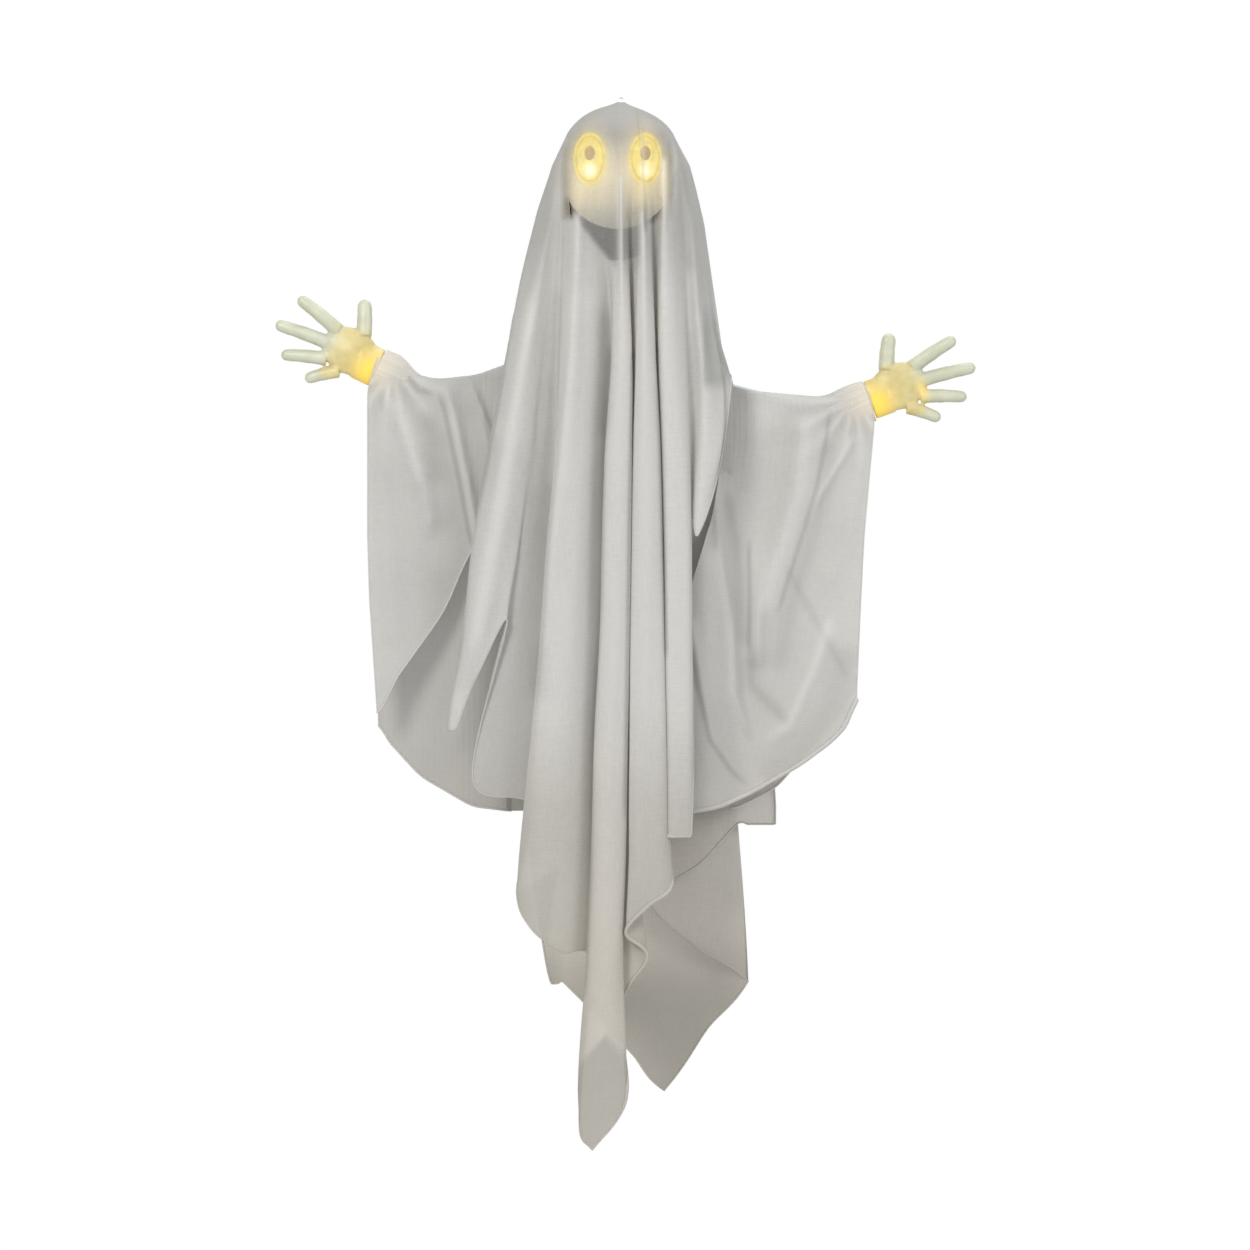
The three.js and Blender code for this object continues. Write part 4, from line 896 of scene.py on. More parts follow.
# %% Veil streaks
# Painted shade (below 0) and painted light (above 0) in streaks along the folds, valleys and creases of the
# veil's front
VEIL_SHADES = [  # lightness, width and a line of (z, x): soft streaks and dark valleys seen on the front
    (-1.0, 3, (-10, 27), (-44, 29), (-77, 32), (-200, 36)),
    (0.3, 12, (-110, -86), (-200, -88), (-290, -92)),
    (-0.5, 6, (-60, 84), (-117, 89), (-200, 96), (-260, 100)),
    (-0.4, 10, (-290, -25), (-400, -22), (-500, -26)),
    (-0.3, 16, (-540, -97), (-700, -110), (-880, -126)),
    (0.3, 9, (-275, -130), (-456, -153), (-806, -217)),
    (0.3, 9, (-281, -66), (-575, -95), (-806, -118)),
    (-0.9, 3, (-350, 17), (-600, 12), (-870, 8), (-1050, 5)),
    (-0.9, 3.5, (-340, 52), (-456, 55), (-600, 60), (-820, 66)),
    (-0.7, 3.5, (-350, -16), (-507, -25), (-725, -29), (-945, -42), (-1130, -45), (-1310, -54)),
    (-0.5, 4, (-250, -46), (-265, -45), (-280, -44)),
    (-0.25, 34, (-480, -172), (-680, -200), (-880, -222)),
]
# The strips are doubled cloth that hides more of the face, and they are also painted lighter, as lit ridges
FACE_STRIPS = [  # doubled cloth over the face
    (1, 6.5, (-160, -64), (-260, -66)),
    (1, 5.5, (-105, -1), (-260, 0)),
    (1, 6, (-155, 31), (-260, 34)),
    (1, 4.5, (-80, 62), (-260, 66)),
]
HORNS = [(0.6, 4, (-140, -75), (-151, -77), (-170, -74)), (0.4, 4.5, (-140, 58), (-161, 53), (-182, 42))]
FOREHEAD_CREASE = [(1, 3, (-10, 27), (-44, 29), (-77, 32), (-150, 34))]
print("streaks:", len(VEIL_SHADES), "face strips:", len(FACE_STRIPS))

# %% Veil values
ARCH_X, ARCH_Z, ARCH_SLOPE = -22, -1350, 1.1  # where the tongue's two layers end, one hangs on below
CORNER_SLOPE, CORNER_X, CORNER_Z0, CORNER_SIDE = 0.61, -151.7, -1112.8, -91.9
GRIN_SLOPE, GRIN_LOW, GRIN_HIGH = 1.215, -261, -246  # pleats hide the grin below this slanting line
SHEER = 0.56  # how much of the face shows through where the cloth is single
# In the formulas below, positions are millimetres and shares of light were picked from the photograph


def cloth_shade(thing, grid, tone, cover=1.0, warm=0.0):
    """Stores the painted light and shade (tone), how close (cover) and the painted glow of nearby lamps
    (warm) of the cloth at each point.
    """
    for name, values in (("tone", tone), ("cover", cover), ("warm", warm)):
        add_values(thing, name, np.broadcast_to(values, grid.shape[:2]))


def veil_painted_shading(x, y, z, strips, crown):
    """Painted light and shade: lighter on what stands forward and on the face strips, darker near the hem,
    where one layer hangs, on the crown and at the right shoulder, plus the painted streaks.
    """
    front, back, forward = smooth(-y, 20, 60), smooth(y, 0, 40), smooth(-y, 58, 104)
    tone = 0.42 + 0.58 * forward + back * (0.35 - 0.75 * smooth(-z, 1180, 1330))
    tongue = np.exp(-((x + 24) / 30) ** 2)
    tone = tone * (1 - front * smooth(-z, 850, 1100) * (0.62 - 0.42 * tongue))
    tone = tone * (1 - 0.9 * front * smooth(-z - ARCH_SLOPE * np.abs(x - ARCH_X), -ARCH_Z, 14 - ARCH_Z))
    single = smooth(CORNER_SLOPE * (x - CORNER_X) - z, 1148, 1154)
    single = single * smooth(CORNER_SIDE + 0.13 * (z - CORNER_Z0) - x, -3, 3) * front
    tone = tone * (1 - 0.45 * single)
    head = smooth(z, -330, -150)
    tone = tone * (1 - head) + head * (0.2 + 0.3 * forward + 0.3 * strips) * (1 - 0.8 * crown)
    shoulder = smooth(x, 116, 124) * smooth(-z, 290, 330) * smooth(-y, -30, 0) * smooth(z, -425, -405)
    return np.clip(tone * (1 - shoulder) + ridge_depth(VEIL_SHADES, x, z) * front, 0, 1)


def veil_cover(x, y, z, strips, crown):
    """How close: sheer over the face, less so in its strips, and open over the grin's two corners."""
    front = smooth(-y, 20, 60)
    face = front * smooth(z, -262, -225) * smooth(-np.abs(x - HEAD_X), -86, -74)
    lower = smooth(x, 4, 9) * smooth(-z, 165, 180) * 0.45 + smooth(x, 27, 34) * smooth(-z, 138, 156) * 0.5
    seen = SHEER * face * (1 - crown) * (1 - 0.85 * strips) * (1 - lower)
    seen = seen * (1 - 0.6 * ridge_depth(FOREHEAD_CREASE, x, z, 8))
    left_corner = smooth(-x, 64, 70) * smooth(z, -178, -170)
    seen = seen * np.maximum(smooth(z + GRIN_SLOPE * x, GRIN_LOW, GRIN_HIGH), left_corner)
    return 1 - seen - 0.05 * crown - ridge_depth(HORNS, x, z, 6) * front


def veil_shade(grid):
    """Painted tone (light and shade) and cover of the veil at each point of its grid."""
    x, y, z = grid[..., 0], grid[..., 1], grid[..., 2]
    strips = ridge_depth(FACE_STRIPS, x, z, 12) * smooth(-y, 20, 60)
    crown = smooth(z, -55, -25)
    return [values(x, y, z, strips, crown) for values in (veil_painted_shading, veil_cover)]


cloth_shade(veil, veil_points, *veil_shade(veil_points))
print("veil tone and cover:", [np.ptp(values).round(2) for values in veil_shade(veil_points)])

# %% Veil hem
HEM_ROLL, FRONT_ROLL, HEM_TONE = 1.3, 1.8, 0.75
hem_line = veil_points[-1]
thicker = smooth(-hem_line[:, 1], 80, 95) * smooth(-np.abs(hem_line[:, 0] - 40), -42, -28)
veil_hem = add_tube("veil_rolled_hem", hem_line, HEM_ROLL + FRONT_ROLL * thicker, 6, closed=True,
                    slot="veil_cloth", body="root")
# The rolled hem's shading is painted as one fixed tone between shade and light
add_values(veil_hem, "tone", np.full(len(veil_hem.data.vertices), HEM_TONE))
add_values(veil_hem, "cover", np.ones(len(veil_hem.data.vertices)))
print("veil hem:", len(veil_hem.data.polygons), "faces")

# %% [markdown]
# ## Robe and sleeves
# Under the veil a robe is gathered at the neck and hangs over the shoulder hub in a front and a back panel.
# Each wide sleeve is one cloth folded over the arm: its front and back panels hang to slanting hems. Their
# folds are ridges that run along picked lines, with a Gaussian section. The robe is nearly all hidden, so
# sines are good enough for it.

# %% Robe
ROBE_NECK_Z, ROBE_SHOULDER_Z = -258.0, -374.0
ROBE_LEFT, ROBE_RIGHT = -168.0, 164.0
NECK_RADIUS, NECK_SHARE, SHOULDER_DEEP, BELLY_DEEP, HEM_DEEP = 11, 0.16, 10, 14, 22
# ROBE_TONE is one painted tone between shade and light for the whole robe under the veil
ROBE_FOLD, ROBE_GATHER, SHOULDER_DROOP, ROBE_TONE = 9, 2.2, 40, 0.4


def robe_panel(name, side, hem_z):
    """Neck gathers open out to the shoulders, and eight soft folds fall from them."""
    rows, columns = ((120, 180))
    across = np.linspace(0, 1, columns)[None, :]
    down = np.linspace(0, 1, rows)[:, None]
    angle = math.pi * across
    belly = np.sin(angle)
    neck_x, neck_y = -NECK_RADIUS * np.cos(angle), side * np.maximum(NECK_RADIUS * belly, 1)
    top = smooth(down, 0, NECK_SHARE)
    fall = np.clip((down - NECK_SHARE) / (1 - NECK_SHARE), 0, 1)
    wave = ROBE_FOLD * np.sin(8 * math.pi * across) * smooth(fall, 0, 0.6) * belly
    pleat = ROBE_GATHER * np.sin(26 * math.pi * across + 1.3) * (1 - 0.6 * fall) * belly
    hang = HEM_DEEP * fall * (0.3 + 0.7 * belly)
    droop = SHOULDER_DROOP * across ** 8 * smooth(top, 0.85, 1) * (1 - fall)
    x = neck_x * (1 - top) + (ROBE_LEFT + (ROBE_RIGHT - ROBE_LEFT) * across) * top
    y = (neck_y * (1 - top) + side * (SHOULDER_DEEP + BELLY_DEEP * belly) * top
         + side * (hang + wave + pleat * top))
    z = ROBE_NECK_Z + (ROBE_SHOULDER_Z - ROBE_NECK_Z) * np.clip(down / NECK_SHARE, 0, 1)
    z = z + (hem_z - ROBE_SHOULDER_Z) * fall - droop
    grid = np.stack(np.broadcast_arrays(x, y, z), -1)
    panel = add_grid(name, grid, flip=side < 0, slot="robe_cloth", body="root")
    cloth_shade(panel, grid, ROBE_TONE)
    return panel


robe_front = robe_panel("robe_front_panel", -1, -1010.0)
robe_back = robe_panel("robe_back_panel", 1, -1034.0)
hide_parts("robe_front")
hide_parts("robe_back")
print("robe panels: 2")

# %% Sleeve lines
# x, z and the arm's slope in degrees
WRISTS = {"left": (-356.0, -388.0, 26.0), "right": (363.0, -435.0, 20.0)}
# Outlines: top, front and back are (x, z); outer and inner are (z, x). Ridges: height, width and a line of
# (z, x). Shades: painted light (above 0) or painted shade (below 0), width and a line of (z, x). Tone is the
# front panel's painted lightness. All count x outwards from the middle.
SLEEVES = {
    "left": dict(
        side=-1,
        roll=1.8,
        tone=0.52,
        top=[(168, -378), (217, -398), (270, -404), (316, -392), (351, -362)],
        outer=[(-362, 351), (-388, 360), (-420, 369), (-631, 369), (-726, 366), (-901, 354)],
        inner=[(-360, 160), (-1040, 160)],
        front=[(160, -590), (172, -600), (220, -655), (258, -744), (334, -849), (343, -878), (356, -895)],
        back=[(160, -1034), (217, -1027), (293, -983), (346, -925), (354, -901)],
        ridges=[
            (7, 13, (-400, 350), (-430, 338), (-477, 316), (-566, 286), (-640, 275)),
            (8, 9, (-404, 260), (-451, 245), (-556, 223), (-655, 206), (-720, 198)),
            (6, 7, (-404, 223), (-489, 187), (-540, 180)),
            (5, 16, (-480, 352), (-600, 344), (-800, 330)),
            (6, 16, (-620, 196), (-800, 214), (-960, 246)),
        ],
        shades=[
            (-0.9, 3.5, (-384, 318), (-402, 309), (-420, 296), (-428, 266)),
            (0.35, 5, (-388, 300), (-402, 290), (-408, 270)),
            (0.4, 11, (-400, 350), (-430, 338), (-477, 316), (-566, 286)),
            (-0.4, 20, (-440, 284), (-500, 276), (-570, 268)),
            (-0.9, 3, (-420, 268), (-451, 257), (-556, 235), (-655, 217)),
            (0.3, 9, (-420, 252), (-556, 222), (-655, 206)),
            (-0.9, 4, (-440, 200), (-520, 186), (-640, 206)),
            (0.25, 20, (-610, 256), (-700, 262)),
        ],
    ),
    "right": dict(
        side=1,
        roll=3.4,
        tone=0.66,
        top=[(165, -413), (217, -423), (299, -430), (354, -410)],
        outer=[(-410, 354), (-437, 365), (-465, 369), (-631, 354), (-726, 349), (-858, 343)],
        inner=[(-410, 150), (-500, 150), (-600, 134), (-726, 96), (-1034, 100)],
        front=[(102, -1034), (144, -1027), (191, -1006), (261, -965), (308, -930), (334, -901), (343, -858)],
        back=[(102, -1034), (168, -1030), (226, -1000), (300, -915), (334, -870), (343, -850)],
        ridges=[
            (7, 8, (-540, 134), (-669, 147), (-764, 163), (-868, 168), (-936, 191)),
            (5, 9, (-620, 200), (-800, 199), (-840, 200)),
            (9, 18, (-450, 270), (-566, 258), (-618, 243), (-685, 222), (-753, 203), (-830, 196)),
            (6, 8, (-480, 345), (-503, 331), (-570, 290), (-600, 275)),
            (6, 12, (-760, 305), (-828, 280), (-910, 243), (-930, 205)),
            (5, 14, (-500, 352), (-640, 330), (-720, 290)),
            (4, 7, (-740, 100), (-785, 106), (-857, 120), (-930, 138), (-974, 170), (-997, 192)),
        ],
        shades=[
            (0.3, 45, (-420, 190), (-470, 240)),
            (-0.45, 9, (-560, 152), (-650, 168), (-810, 181)),
            (-0.6, 3.5, (-630, 186), (-720, 187), (-810, 186)),
            (0.3, 5, (-630, 194), (-720, 195), (-800, 194)),
            (-0.3, 14, (-480, 308), (-566, 296), (-640, 276), (-740, 246), (-840, 226)),
            (-0.5, 4, (-440, 306), (-497, 298), (-566, 284), (-618, 268), (-685, 247), (-753, 226)),
            (0.3, 16, (-450, 272), (-566, 260), (-618, 246), (-685, 225), (-753, 205)),
            (0.35, 6, (-480, 345), (-503, 331), (-570, 290), (-610, 272)),
            (-0.45, 9, (-790, 184), (-850, 190), (-910, 248)),
            (0.35, 9, (-740, 310), (-828, 280), (-910, 243), (-940, 196)),
            (-0.35, 26, (-780, 330), (-880, 312), (-950, 262), (-1000, 205)),
            (-0.25, 6, (-670, 236), (-760, 286), (-850, 336)),
            (-0.6, 4, (-740, 92), (-785, 98), (-857, 112), (-930, 129), (-974, 160), (-1000, 186)),
            (-0.15, 20, (-860, 102), (-960, 118), (-1010, 130)),
        ],
    ),
}
print("sleeve ridges:", {name: len(spec["ridges"]) for name, spec in SLEEVES.items()})

# %% [markdown]
# ## Sleeves over the arms
# Each sleeve of the real ghost is tied at the wrist and at the shoulder, and moves with the arm. The frame
# holds a rigid sleeve that slides up and down; this cloth takes its place.

# %% Sleeve sections
SHOULDER_X, INNER_X, HUB_Z = 170, 160.0, -0.39
CORNER_ROUNDING = (-10, -5, 0, 5, 10)
GLOW_REACH = 30


def height_on(outline, at):
    """The second number of an outline's pairs at the first one, with its corners rounded over 2 cm."""
    points = np.array(outline, float)
    points = points[np.argsort(points[:, 0])]
    return np.mean([np.interp(at + step, points[:, 0], points[:, 1]) for step in CORNER_ROUNDING], 0)


def painted_wrist_glow(grid, name):
    """Painted lamp light on the cloth, as an emission glow: a Gaussian of the distance from the wrist."""
    x, z, _ = WRISTS[name]
    away = np.linalg.norm(grid - np.array([x, 0, z]), axis=-1)
    return np.exp(-(away / GLOW_REACH) ** 2)


def section_steps(count, arch=12):
    """Down the front, over the arm and down the back: side, angle round the arm and share of the fall."""
    steps = np.concatenate([np.linspace(0, math.pi / 2, arch), np.full(count, math.pi / 2)])
    falls = np.concatenate([np.zeros(arch), np.linspace(0, 1, count + 1)[1:]])
    sign = np.concatenate([-np.ones(len(steps)), np.ones(len(steps) - 1)])
    return [line[:, None] for line in (sign, np.concatenate([steps[::-1], steps[1:]]),
                                       np.concatenate([falls[::-1], falls[1:]]))]


print("points in a section:", len(section_steps(130)[0]))

# %% Sleeve surface
ARM_TALL, ARM_DEEP, WRIST_TALL, WRIST_DEEP = 4, 4, 24, 13
LAP, PANEL_SPREAD, BILLOW, BACK_RIDGE = 57, 14, 4, -0.8
FAN, FAN_INSET, FAN_FROM, FAN_REACH = 2.4, 20, (15, 45), 85


def sleeve_points(name, spec):
    """Round the arm a section is a half ellipse that grows to the wrist's; from its sides the panels fall."""
    columns, rows_side = ((170, 130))
    out = np.linspace(0, 1, columns)[None, :]
    sign, turn, fall = section_steps(rows_side)
    wrist, wrist_z = abs(WRISTS[name][0]), WRISTS[name][1]
    middle = SHOULDER_X + (wrist - SHOULDER_X) * out
    round_arm = smooth(middle, wrist - 150, wrist - 60)
    tall, deep = ARM_TALL + WRIST_TALL * round_arm, ARM_DEEP + WRIST_DEEP * round_arm
    axis = height_on(spec["top"], middle) - tall
    x = np.broadcast_to(middle, (len(turn), columns)).copy()
    for _ in range(3):  # x and z depend on each other through the outlines
        hem = np.where(sign < 0, height_on(spec["front"], x), height_on(spec["back"], x))
        z = axis + tall * np.cos(turn) + (hem - axis) * fall
        inner = np.where(sign < 0, height_on(spec["inner"], z), INNER_X)
        x = inner + (height_on(spec["outer"], z) - inner) * out
    under_veil = smooth(-x, -190, -110) * smooth(fall, 0.1, 0.4)
    lap = np.where(sign < 0, deep + (LAP - deep) * under_veil, deep)
    folds = ridge_depth(spec["ridges"], x, z) * np.where(sign < 0, 1.0, BACK_RIDGE)
    wide = BILLOW * np.sin(5.5 * out + 2.2 * fall) * smooth(fall, 0.1, 0.5)
    away = np.hypot(wrist - FAN_INSET - x, z - wrist_z)
    fan = np.sin(15 * np.arctan2(z - wrist_z, wrist - FAN_INSET - x) + 2 * np.sin(away / 40))
    gathers = FAN * fan * smooth(away, *FAN_FROM) * np.exp(-(away / FAN_REACH) ** 2)
    y = sign * ((lap + gathers) * np.sin(turn) + PANEL_SPREAD * fall * (1 - under_veil) + wide)
    y = y + np.where(sign < 0, -1, 1) * folds
    # Painted light and shade: the front's tone with painted streaks, lighter where the gathers stand out; the
    # back, seen from inside, painted in shade
    tone = np.where(sign < 0, spec["tone"] + ridge_depth(spec["shades"], x, z) + 0.12 * gathers, 0.1)
    return np.stack(np.broadcast_arrays(spec["side"] * x, y, z), -1), np.clip(tone, 0, 1)


sleeve_grids = {name: sleeve_points(name, spec) for name, spec in SLEEVES.items()}
print("sleeve grids:", [grid.shape[:2] for grid, _ in sleeve_grids.values()])

# %% Sleeves
OUTER_ROLL, BACK_ROLL, SLEEVE_RIPPLE = 0.9, 1.6, 0.12


def sleeve_panel(name, spec, grid, tone):
    """The sleeve's cloth and the rolled hem round its open side."""
    side, columns = spec["side"], grid.shape[1]
    rippled = ripple(grid, SLEEVE_RIPPLE, 0.0, 11 + side, wrap=False)
    panel = add_grid(f"{name}_sleeve_voile", rippled, flip=side < 0, slot="robe_cloth")
    cloth_shade(panel, grid, tone, warm=painted_wrist_glow(grid, name))
    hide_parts(f"{name}_sleeve")
    edge = np.vstack([grid[0], grid[1:-1, -1], grid[-1, ::-1]])
    roll = np.full(len(edge), OUTER_ROLL)
    roll[:columns], roll[-columns:] = spec["roll"], BACK_ROLL
    hem = add_tube(f"{name}_sleeve_hem", edge, roll, 6, slot="robe_cloth")
    # The rolled hem is painted at the full light tone and is opaque
    for value in ("tone", "cover"):
        add_values(hem, value, np.ones(len(hem.data.vertices)))
    for thing in (panel, hem):
        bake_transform(thing)
    return panel, hem


sleeves = {name: sleeve_panel(name, spec, *sleeve_grids[name]) for name, spec in SLEEVES.items()}
print("sleeves:", list(sleeves))

# %% [markdown]
# ## Cuffs
# At each wrist the sleeve is gathered into a short ring that is tied round the arm. A cloth simulation could
# pucker it, but it is 3 cm of a life-size figure: a tube whose radius has lobes, sines that fade towards the
# hand, looks the same.

# %% Cuffs
CUFF_LENGTH, CUFF_SHORT, CUFF_HALF_WIDTH, CUFF_HALF_HEIGHT = 62.0, 1.2, 17.5, 29.5
# CUFF_TONE is the cuff's painted tone between shade and light
CUFF_START, CUFF_END, CUFF_TONE = {"left": 0.62, "right": 0.92}, 1.02, 0.8


def on_wrist(points, name):
    """Points made along +X (outwards) and +Z (thumb side), placed on an arm's wrist."""
    x, z, slope = WRISTS[name]
    side, slope = math.copysign(1, x), math.radians(slope)
    along = np.array([side * math.cos(slope), 0, math.sin(slope)])
    up = np.array([-side * math.sin(slope), 0, math.cos(slope)])
    across = np.cross(up, along)
    return points[..., :1] * along + points[..., 1:2] * across + points[..., 2:] * up + np.array([x, 0, z])


def cuff_tube(name):
    """A gathered ring: lobes that fade towards the wrist."""
    rows, sides = 30, 128
    out = np.linspace(0, 1, rows)[:, None]
    turn = np.arange(sides)[None, :] * 2 * math.pi / sides
    lobes = 1 + 0.06 * np.sin(9 * turn + 3 * out) * (1 - 0.4 * out) + 0.03 * np.sin(23 * turn + 2 * out)
    lobes = lobes * (CUFF_START[name] + (CUFF_END - CUFF_START[name]) * smooth(out, 0, 0.7))
    grid = on_wrist(np.stack(np.broadcast_arrays(
        CUFF_LENGTH * (out - 1) - CUFF_SHORT * out, CUFF_HALF_WIDTH * lobes * np.cos(turn),
        CUFF_HALF_HEIGHT * lobes * np.sin(turn)), -1), name)
    cuff = add_grid(f"{name}_cuff_gathers", grid, wrap=True, slot="robe_cloth", body=f"{name}_arm")
    cloth_shade(cuff, grid, CUFF_TONE, warm=painted_wrist_glow(grid, name))
    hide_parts(f"{name}_cuff")
    return cuff


cuffs = [cuff_tube(name) for name in WRISTS]
print("cuffs:", len(cuffs))

# %% [markdown]
# ## Hands
# The hands are hollow soft vinyl, moulded in one piece. They could be sculpted, but from measures it is
# easier to lay overlapping solids for palm, wrist and fingers, which a voxel remesh joins and a smoothing
# pass softens, as a mould maker blends the joints. Light from the wrist lamp fills the hollow palm and fades
# along the fingers; it is painted on the vinyl as an emission and a yellower colour.

# %% Hand material
GLOW_COLOUR, GLOW_POWER, GLOW_FALL = (1.0, 0.68, 0.06, 1), 0.34, 1.4


def hand_material():
    """Mottled vinyl with painted lamp light: yellower on the palm and where it glows, and an emission that is
    the glow attribute to a power.
    """
    n = Nodes("hand_vinyl")
    place = n.place()
    glow = n.attribute("glow")
    mottle = n.ramp(n.noise(place, 40.0, 4.0), 0.3, 0.7)
    pale = n.mix(mottle, rgb(186, 187, 162), rgb(200, 201, 180))
    # Painted lamp light: the palm and the glowing parts are painted yellower than the pale vinyl
    palm = n.mix(mottle, rgb(186, 172, 116), rgb(214, 200, 148))
    base = n.mix(n.attribute("palm"), pale, palm)
    base = n.mix(n.ramp(glow, 0.1, 0.9), base, rgb(216, 184, 84))
    wrinkle = n.noise(place, 70.0, 3.0, Distortion=1.5)
    power = n.math("MULTIPLY", n.math("POWER", glow, GLOW_FALL), GLOW_POWER)
    return n.finish(n.add("ShaderNodeBsdfPrincipled", Base_Color=base, Roughness=0.42,
                          Emission_Color=GLOW_COLOUR, Emission_Strength=power,
                          Normal=n.bump(wrinkle, 0.35, 0.0015)))


materials["hand_vinyl"] = hand_material()
print("hand material:", materials["hand_vinyl"].name)

# %% Fingers
# On an arm along +X, thumb first: x and z of the root, then of the last joint, and radius at root and tip
FINGERS = [
    (38, 34, 55, 70, 12.0, 10.0),
    (74, 24, 137, 39, 11.0, 8.6),
    (80, 2, 150, -6, 10.8, 8.6),
    (72, -20, 124, -40, 10.6, 8.2),
    (48, -28, 79, -54, 10.4, 8.0),
]
FINGER_PAST, FINGER_BOW, FINGER_BEND = 3, 1.2, 5
KNUCKLES = ((0.5, 0.45, 0.08), (0.35, 0.75, 0.07))  # height, place and width along the finger


def finger_line(spec):
    """A slightly bowed line and radii that taper, swell at knuckles and close in an ellipse at the tip."""
    x0, z0, x1, z1, root, tip = spec
    share = 1 + (tip + FINGER_PAST) / math.hypot(x1 - x0, z1 - z0)
    x1, z1 = x0 + (x1 - x0) * share, z0 + (z1 - z0) * share
    length = math.hypot(x1 - x0, z1 - z0)
    s = np.linspace(0, 1, 26)
    centre = np.stack([x0 + (x1 - x0) * s, -FINGER_BEND * s ** 1.5, z0 + (z1 - z0) * s], -1)
    centre += np.array([-(z1 - z0), 0, x1 - x0]) / length * FINGER_BOW * np.sin(math.pi * s)[:, None]
    swelling = sum(high * np.exp(-((s - at) / wide) ** 2) for high, at, wide in KNUCKLES)
    radius = root + (tip - root) * s + swelling
    tip_share = np.clip((s - 1 + tip / length) / (tip / length), 0, 1)
    return centre, radius * np.sqrt(1 - 0.98 * tip_share ** 2)


print("finger lengths (mm):", [round(np.ptp(finger_line(spec)[0], 0).max(), 1) for spec in FINGERS])

# %% Palm and wrist
PALM = dict(along=46, across=5, half_length=43, half_width=34, half_depth=14)
STUB_LENGTH, STUB_HALF_DEPTH, STUB_HALF_HEIGHT = 30, 15.5, 29
HAND_SIDES = 32


def hand_grids():
    """An ellipsoid for the palm, an oval stub for the wrist and five tubes for the fingers."""
    turn = np.arange(HAND_SIDES) * 2 * math.pi / HAND_SIDES
    lift = np.linspace(-math.pi / 2, math.pi / 2, 20)[:, None]
    ball = np.stack([PALM["along"] + PALM["half_length"] * np.sin(lift) * np.ones(HAND_SIDES),
                     PALM["half_depth"] * np.cos(lift) * np.cos(turn),
                     PALM["across"] + PALM["half_width"] * np.cos(lift) * np.sin(turn)], -1)
    ball[0], ball[-1] = ball[0].mean(0) + (ball[0] - ball[0].mean(0)) * 0.01, ball[-1].mean(0)
    out = np.linspace(0, STUB_LENGTH, 8)[:, None]
    deep, high = STUB_HALF_DEPTH * np.cos(turn), STUB_HALF_HEIGHT * np.sin(turn)
    stub = np.stack(np.broadcast_arrays(out, deep, high), -1)
    return [ball, stub] + [tube_grid(*finger_line(spec), 20)[:, ::-1] for spec in FINGERS]


def capped(grids):
    """All grids as one list of points and faces, each closed at both ends."""
    points, faces, start = [], [], 0
    for grid in grids:
        rows, sides = grid.shape[:2]
        ring = start + np.arange(sides)
        points.append(grid.reshape(-1, 3))
        faces += (np.array(grid_faces(rows, sides, wrap=True)) + start).tolist()
        faces += [ring[::-1].tolist(), (ring + (rows - 1) * sides).tolist()]
        start += rows * sides
    return np.vstack(points), faces


print("hand grids:", [grid.shape[:2] for grid in hand_grids()])

# %% Hands
VOXEL = 0.0016
# Painted glow of the wrist lamp: strength, place and width along the hand, place and width across it
WRIST_LIGHT, KNUCKLE_LIGHT = (1, 6, 26, -10, 26), (0.6, 78, 10, -12, 20)


def hand_solid(name):
    """The grids joined by a voxel remesh and softened, with painted Gaussian glows and a palm patch, painted
    yellower, per point.
    """
    points, faces = capped(hand_grids())
    hand = add_mesh(f"{name}_hand_vinyl", on_wrist(points, name), faces)
    join = hand.modifiers.new("join", "REMESH")
    join.mode = "VOXEL"
    join.voxel_size = VOXEL
    soften = hand.modifiers.new("soften", "SMOOTH")
    soften.iterations = 6
    soften.factor = 0.6
    bake(hand)
    vertices = np.empty(len(hand.data.vertices) * 3)
    hand.data.vertices.foreach_get("co", vertices)
    x, z, slope = WRISTS[name]
    side, slope = math.copysign(1, x), math.radians(slope)
    across, _, up = (vertices.reshape(-1, 3) / MM - np.array([x, 0, z])).T
    along = across * side * math.cos(slope) + up * math.sin(slope)
    rise = up * math.cos(slope) - across * side * math.sin(slope)
    lights = [WRIST_LIGHT, KNUCKLE_LIGHT] if name == "right" else [WRIST_LIGHT]
    glow = sum(power * np.exp(-((along - out) / wide) ** 2 - ((rise - above) / high) ** 2)
               for power, out, wide, above, high in lights)
    add_values(hand, "glow", np.clip(glow + 0.1 * smooth(-along, -90, -50), 0, 1))
    add_values(hand, "palm", smooth(-along, -84, -62) * smooth(-rise, -48, -32) * smooth(rise, -52, -40))
    hand.data.materials.append(materials["hand_vinyl"])
    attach(hand, f"{name}_hand")
    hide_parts(f"{name}_hand")
    return hand


hands = [hand_solid(name) for name in WRISTS]
print("hands:", [len(hand.data.polygons) for hand in hands])

# %% [markdown]
# ## Cloth sizes
# The veil is pointed at front and back: 2.96 m from tip to tip over the crown and 0.95 m from side to side.

# %% Cloth sizes
print("veil: 2.96 m tip to tip, 0.95 m across")

# %% [markdown]
# ## Stage and light
# A plain white surround that the camera sees as pure white, a pale floor out of the front view, and soft
# light: a large area lamp high at the left front, so that folds have a light and a shaded side, and an even
# fill. A white surround that also lit the cloth would wash its folds out, so light and picture are told apart
# by the kind of ray.

# %% Surround
FILL_COLOUR, FILL_STRENGTH, FLOOR_GREY = (0.93, 0.96, 1.0, 1), 0.54, (0.8, 0.8, 0.8, 1)
FLOOR_Z, FLOOR_REACH = -2100, 6000


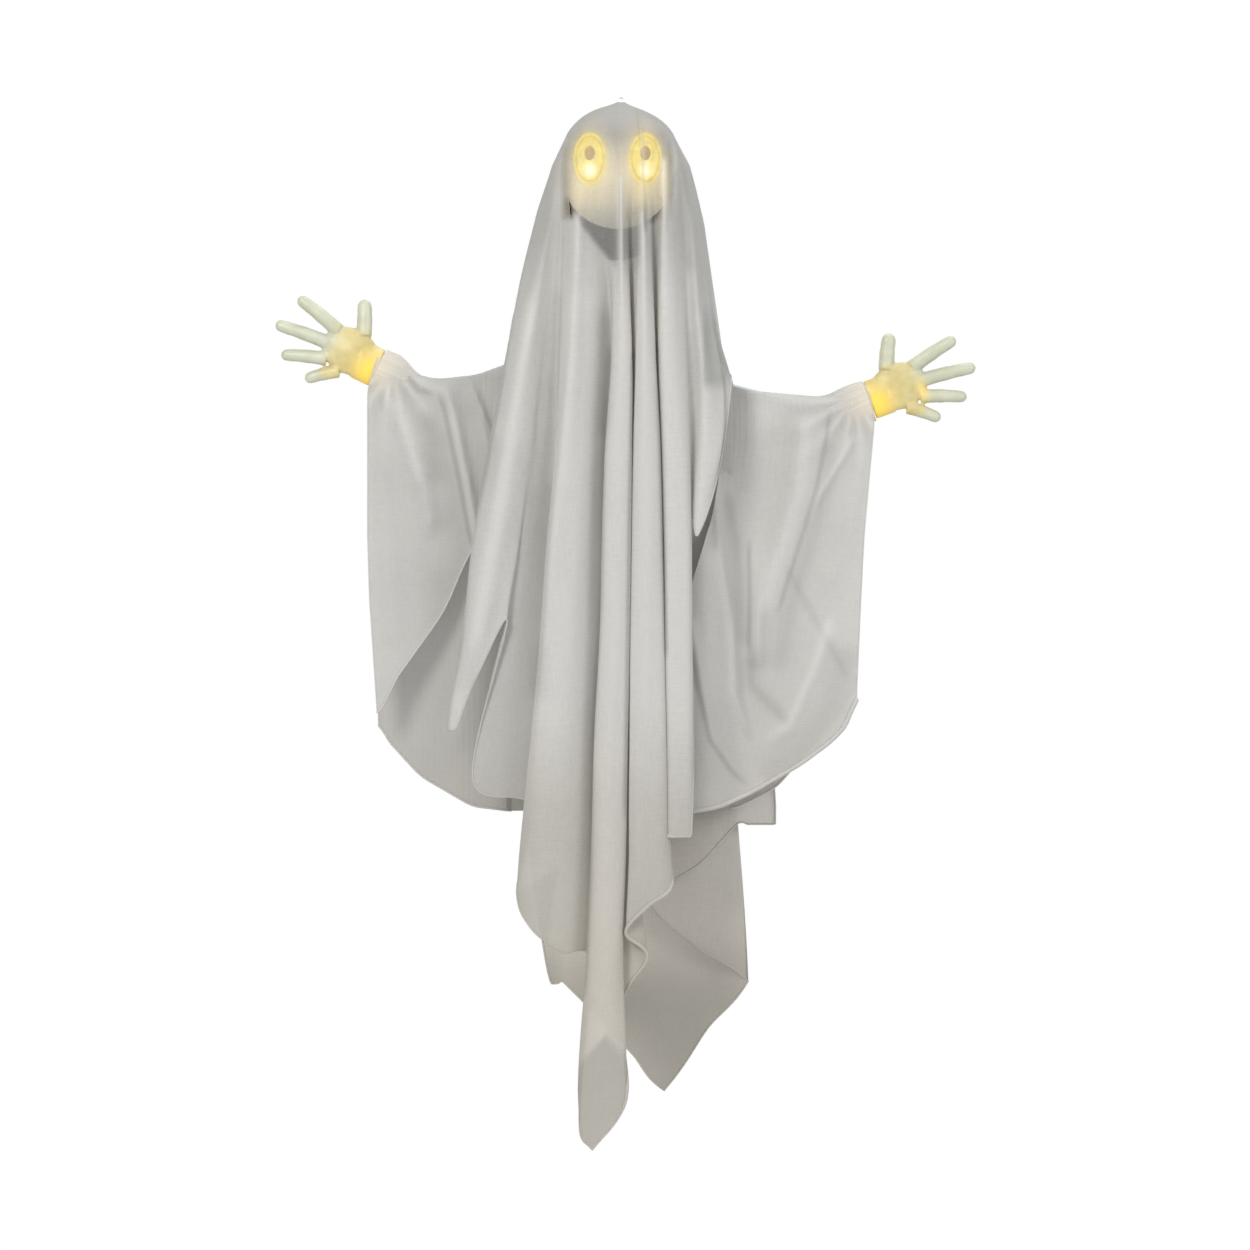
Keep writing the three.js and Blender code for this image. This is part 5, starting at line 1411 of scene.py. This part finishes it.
def seen_directly(tree):
    """1 for camera, glossy and transmission rays, which see plain white, and 0 for the rest."""
    path = tree.nodes.new("ShaderNodeLightPath")
    seen = path.outputs["Is Camera Ray"]
    for kind in ("Is Glossy Ray", "Is Transmission Ray"):
        either = tree.nodes.new("ShaderNodeMath")
        either.operation = "MAXIMUM"
        tree.links.new(seen, either.inputs[0])
        tree.links.new(path.outputs[kind], either.inputs[1])
        seen = either.outputs[0]
    return seen


def two_faced(owner, lit_kind, lit_values, white_kind, output_kind):
    """Gives a world or material one shader for light and a white one for what the camera sees."""
    owner.use_nodes = True
    tree = owner.node_tree
    tree.nodes.clear()
    lit, white = tree.nodes.new(lit_kind), tree.nodes.new(white_kind)
    for name, value in lit_values.items():
        lit.inputs[name].default_value = value
    white.inputs["Color"].default_value = (1, 1, 1, 1)
    mixer, output = tree.nodes.new("ShaderNodeMixShader"), tree.nodes.new(output_kind)
    tree.links.new(seen_directly(tree), mixer.inputs[0])
    tree.links.new(lit.outputs[0], mixer.inputs[1])
    tree.links.new(white.outputs[0], mixer.inputs[2])
    tree.links.new(mixer.outputs[0], output.inputs[0])
    return owner


bpy.context.scene.world = two_faced(
    bpy.data.worlds.new("surround"), "ShaderNodeBackground",
    {"Color": FILL_COLOUR, "Strength": FILL_STRENGTH}, "ShaderNodeBackground", "ShaderNodeOutputWorld")
corners = [(x * FLOOR_REACH, y * FLOOR_REACH, FLOOR_Z) for x, y in ((-1, -1), (1, -1), (1, 1), (-1, 1))]
floor = add_mesh("floor", corners, [[0, 1, 2, 3]])
floor.data.materials.append(two_faced(
    bpy.data.materials.new("floor"), "ShaderNodeBsdfDiffuse", {"Color": FLOOR_GREY}, "ShaderNodeEmission",
    "ShaderNodeOutputMaterial"))
print("surround:", bpy.context.scene.world.name, "floor at", FLOOR_Z)

# %% Lamps


def area_lamp(name, place, target, size, power, colour):
    """A round lamp of so many metres and watts, turned so that its -Z axis points at the target."""
    data = bpy.data.lights.new(name, "AREA")
    data.shape = "DISK"
    data.size = size
    data.energy = power
    data.color = colour
    lamp = bpy.data.objects.new(name, data)
    lamp.location = place
    lamp.rotation_euler = (Vector(target) - Vector(place)).to_track_quat("-Z", "Y").to_euler()
    bpy.context.scene.collection.objects.link(lamp)
    return lamp


key = area_lamp("key", (-1.9, -3.4, 1.1), (0, 0, -0.7), 1.4, 96, (1.0, 0.99, 0.97))
soft = area_lamp("soft", (2.8, -2.6, 0.4), (0, 0, -0.8), 2.0, 48, (0.97, 0.98, 1.0))
rim = area_lamp("top", (0.6, 0.4, 2.2), (0, 0, -0.6), 2.0, 28, (1.0, 1.0, 1.0))
print("lamps (W):", [lamp.data.energy for lamp in (key, soft, rim)])
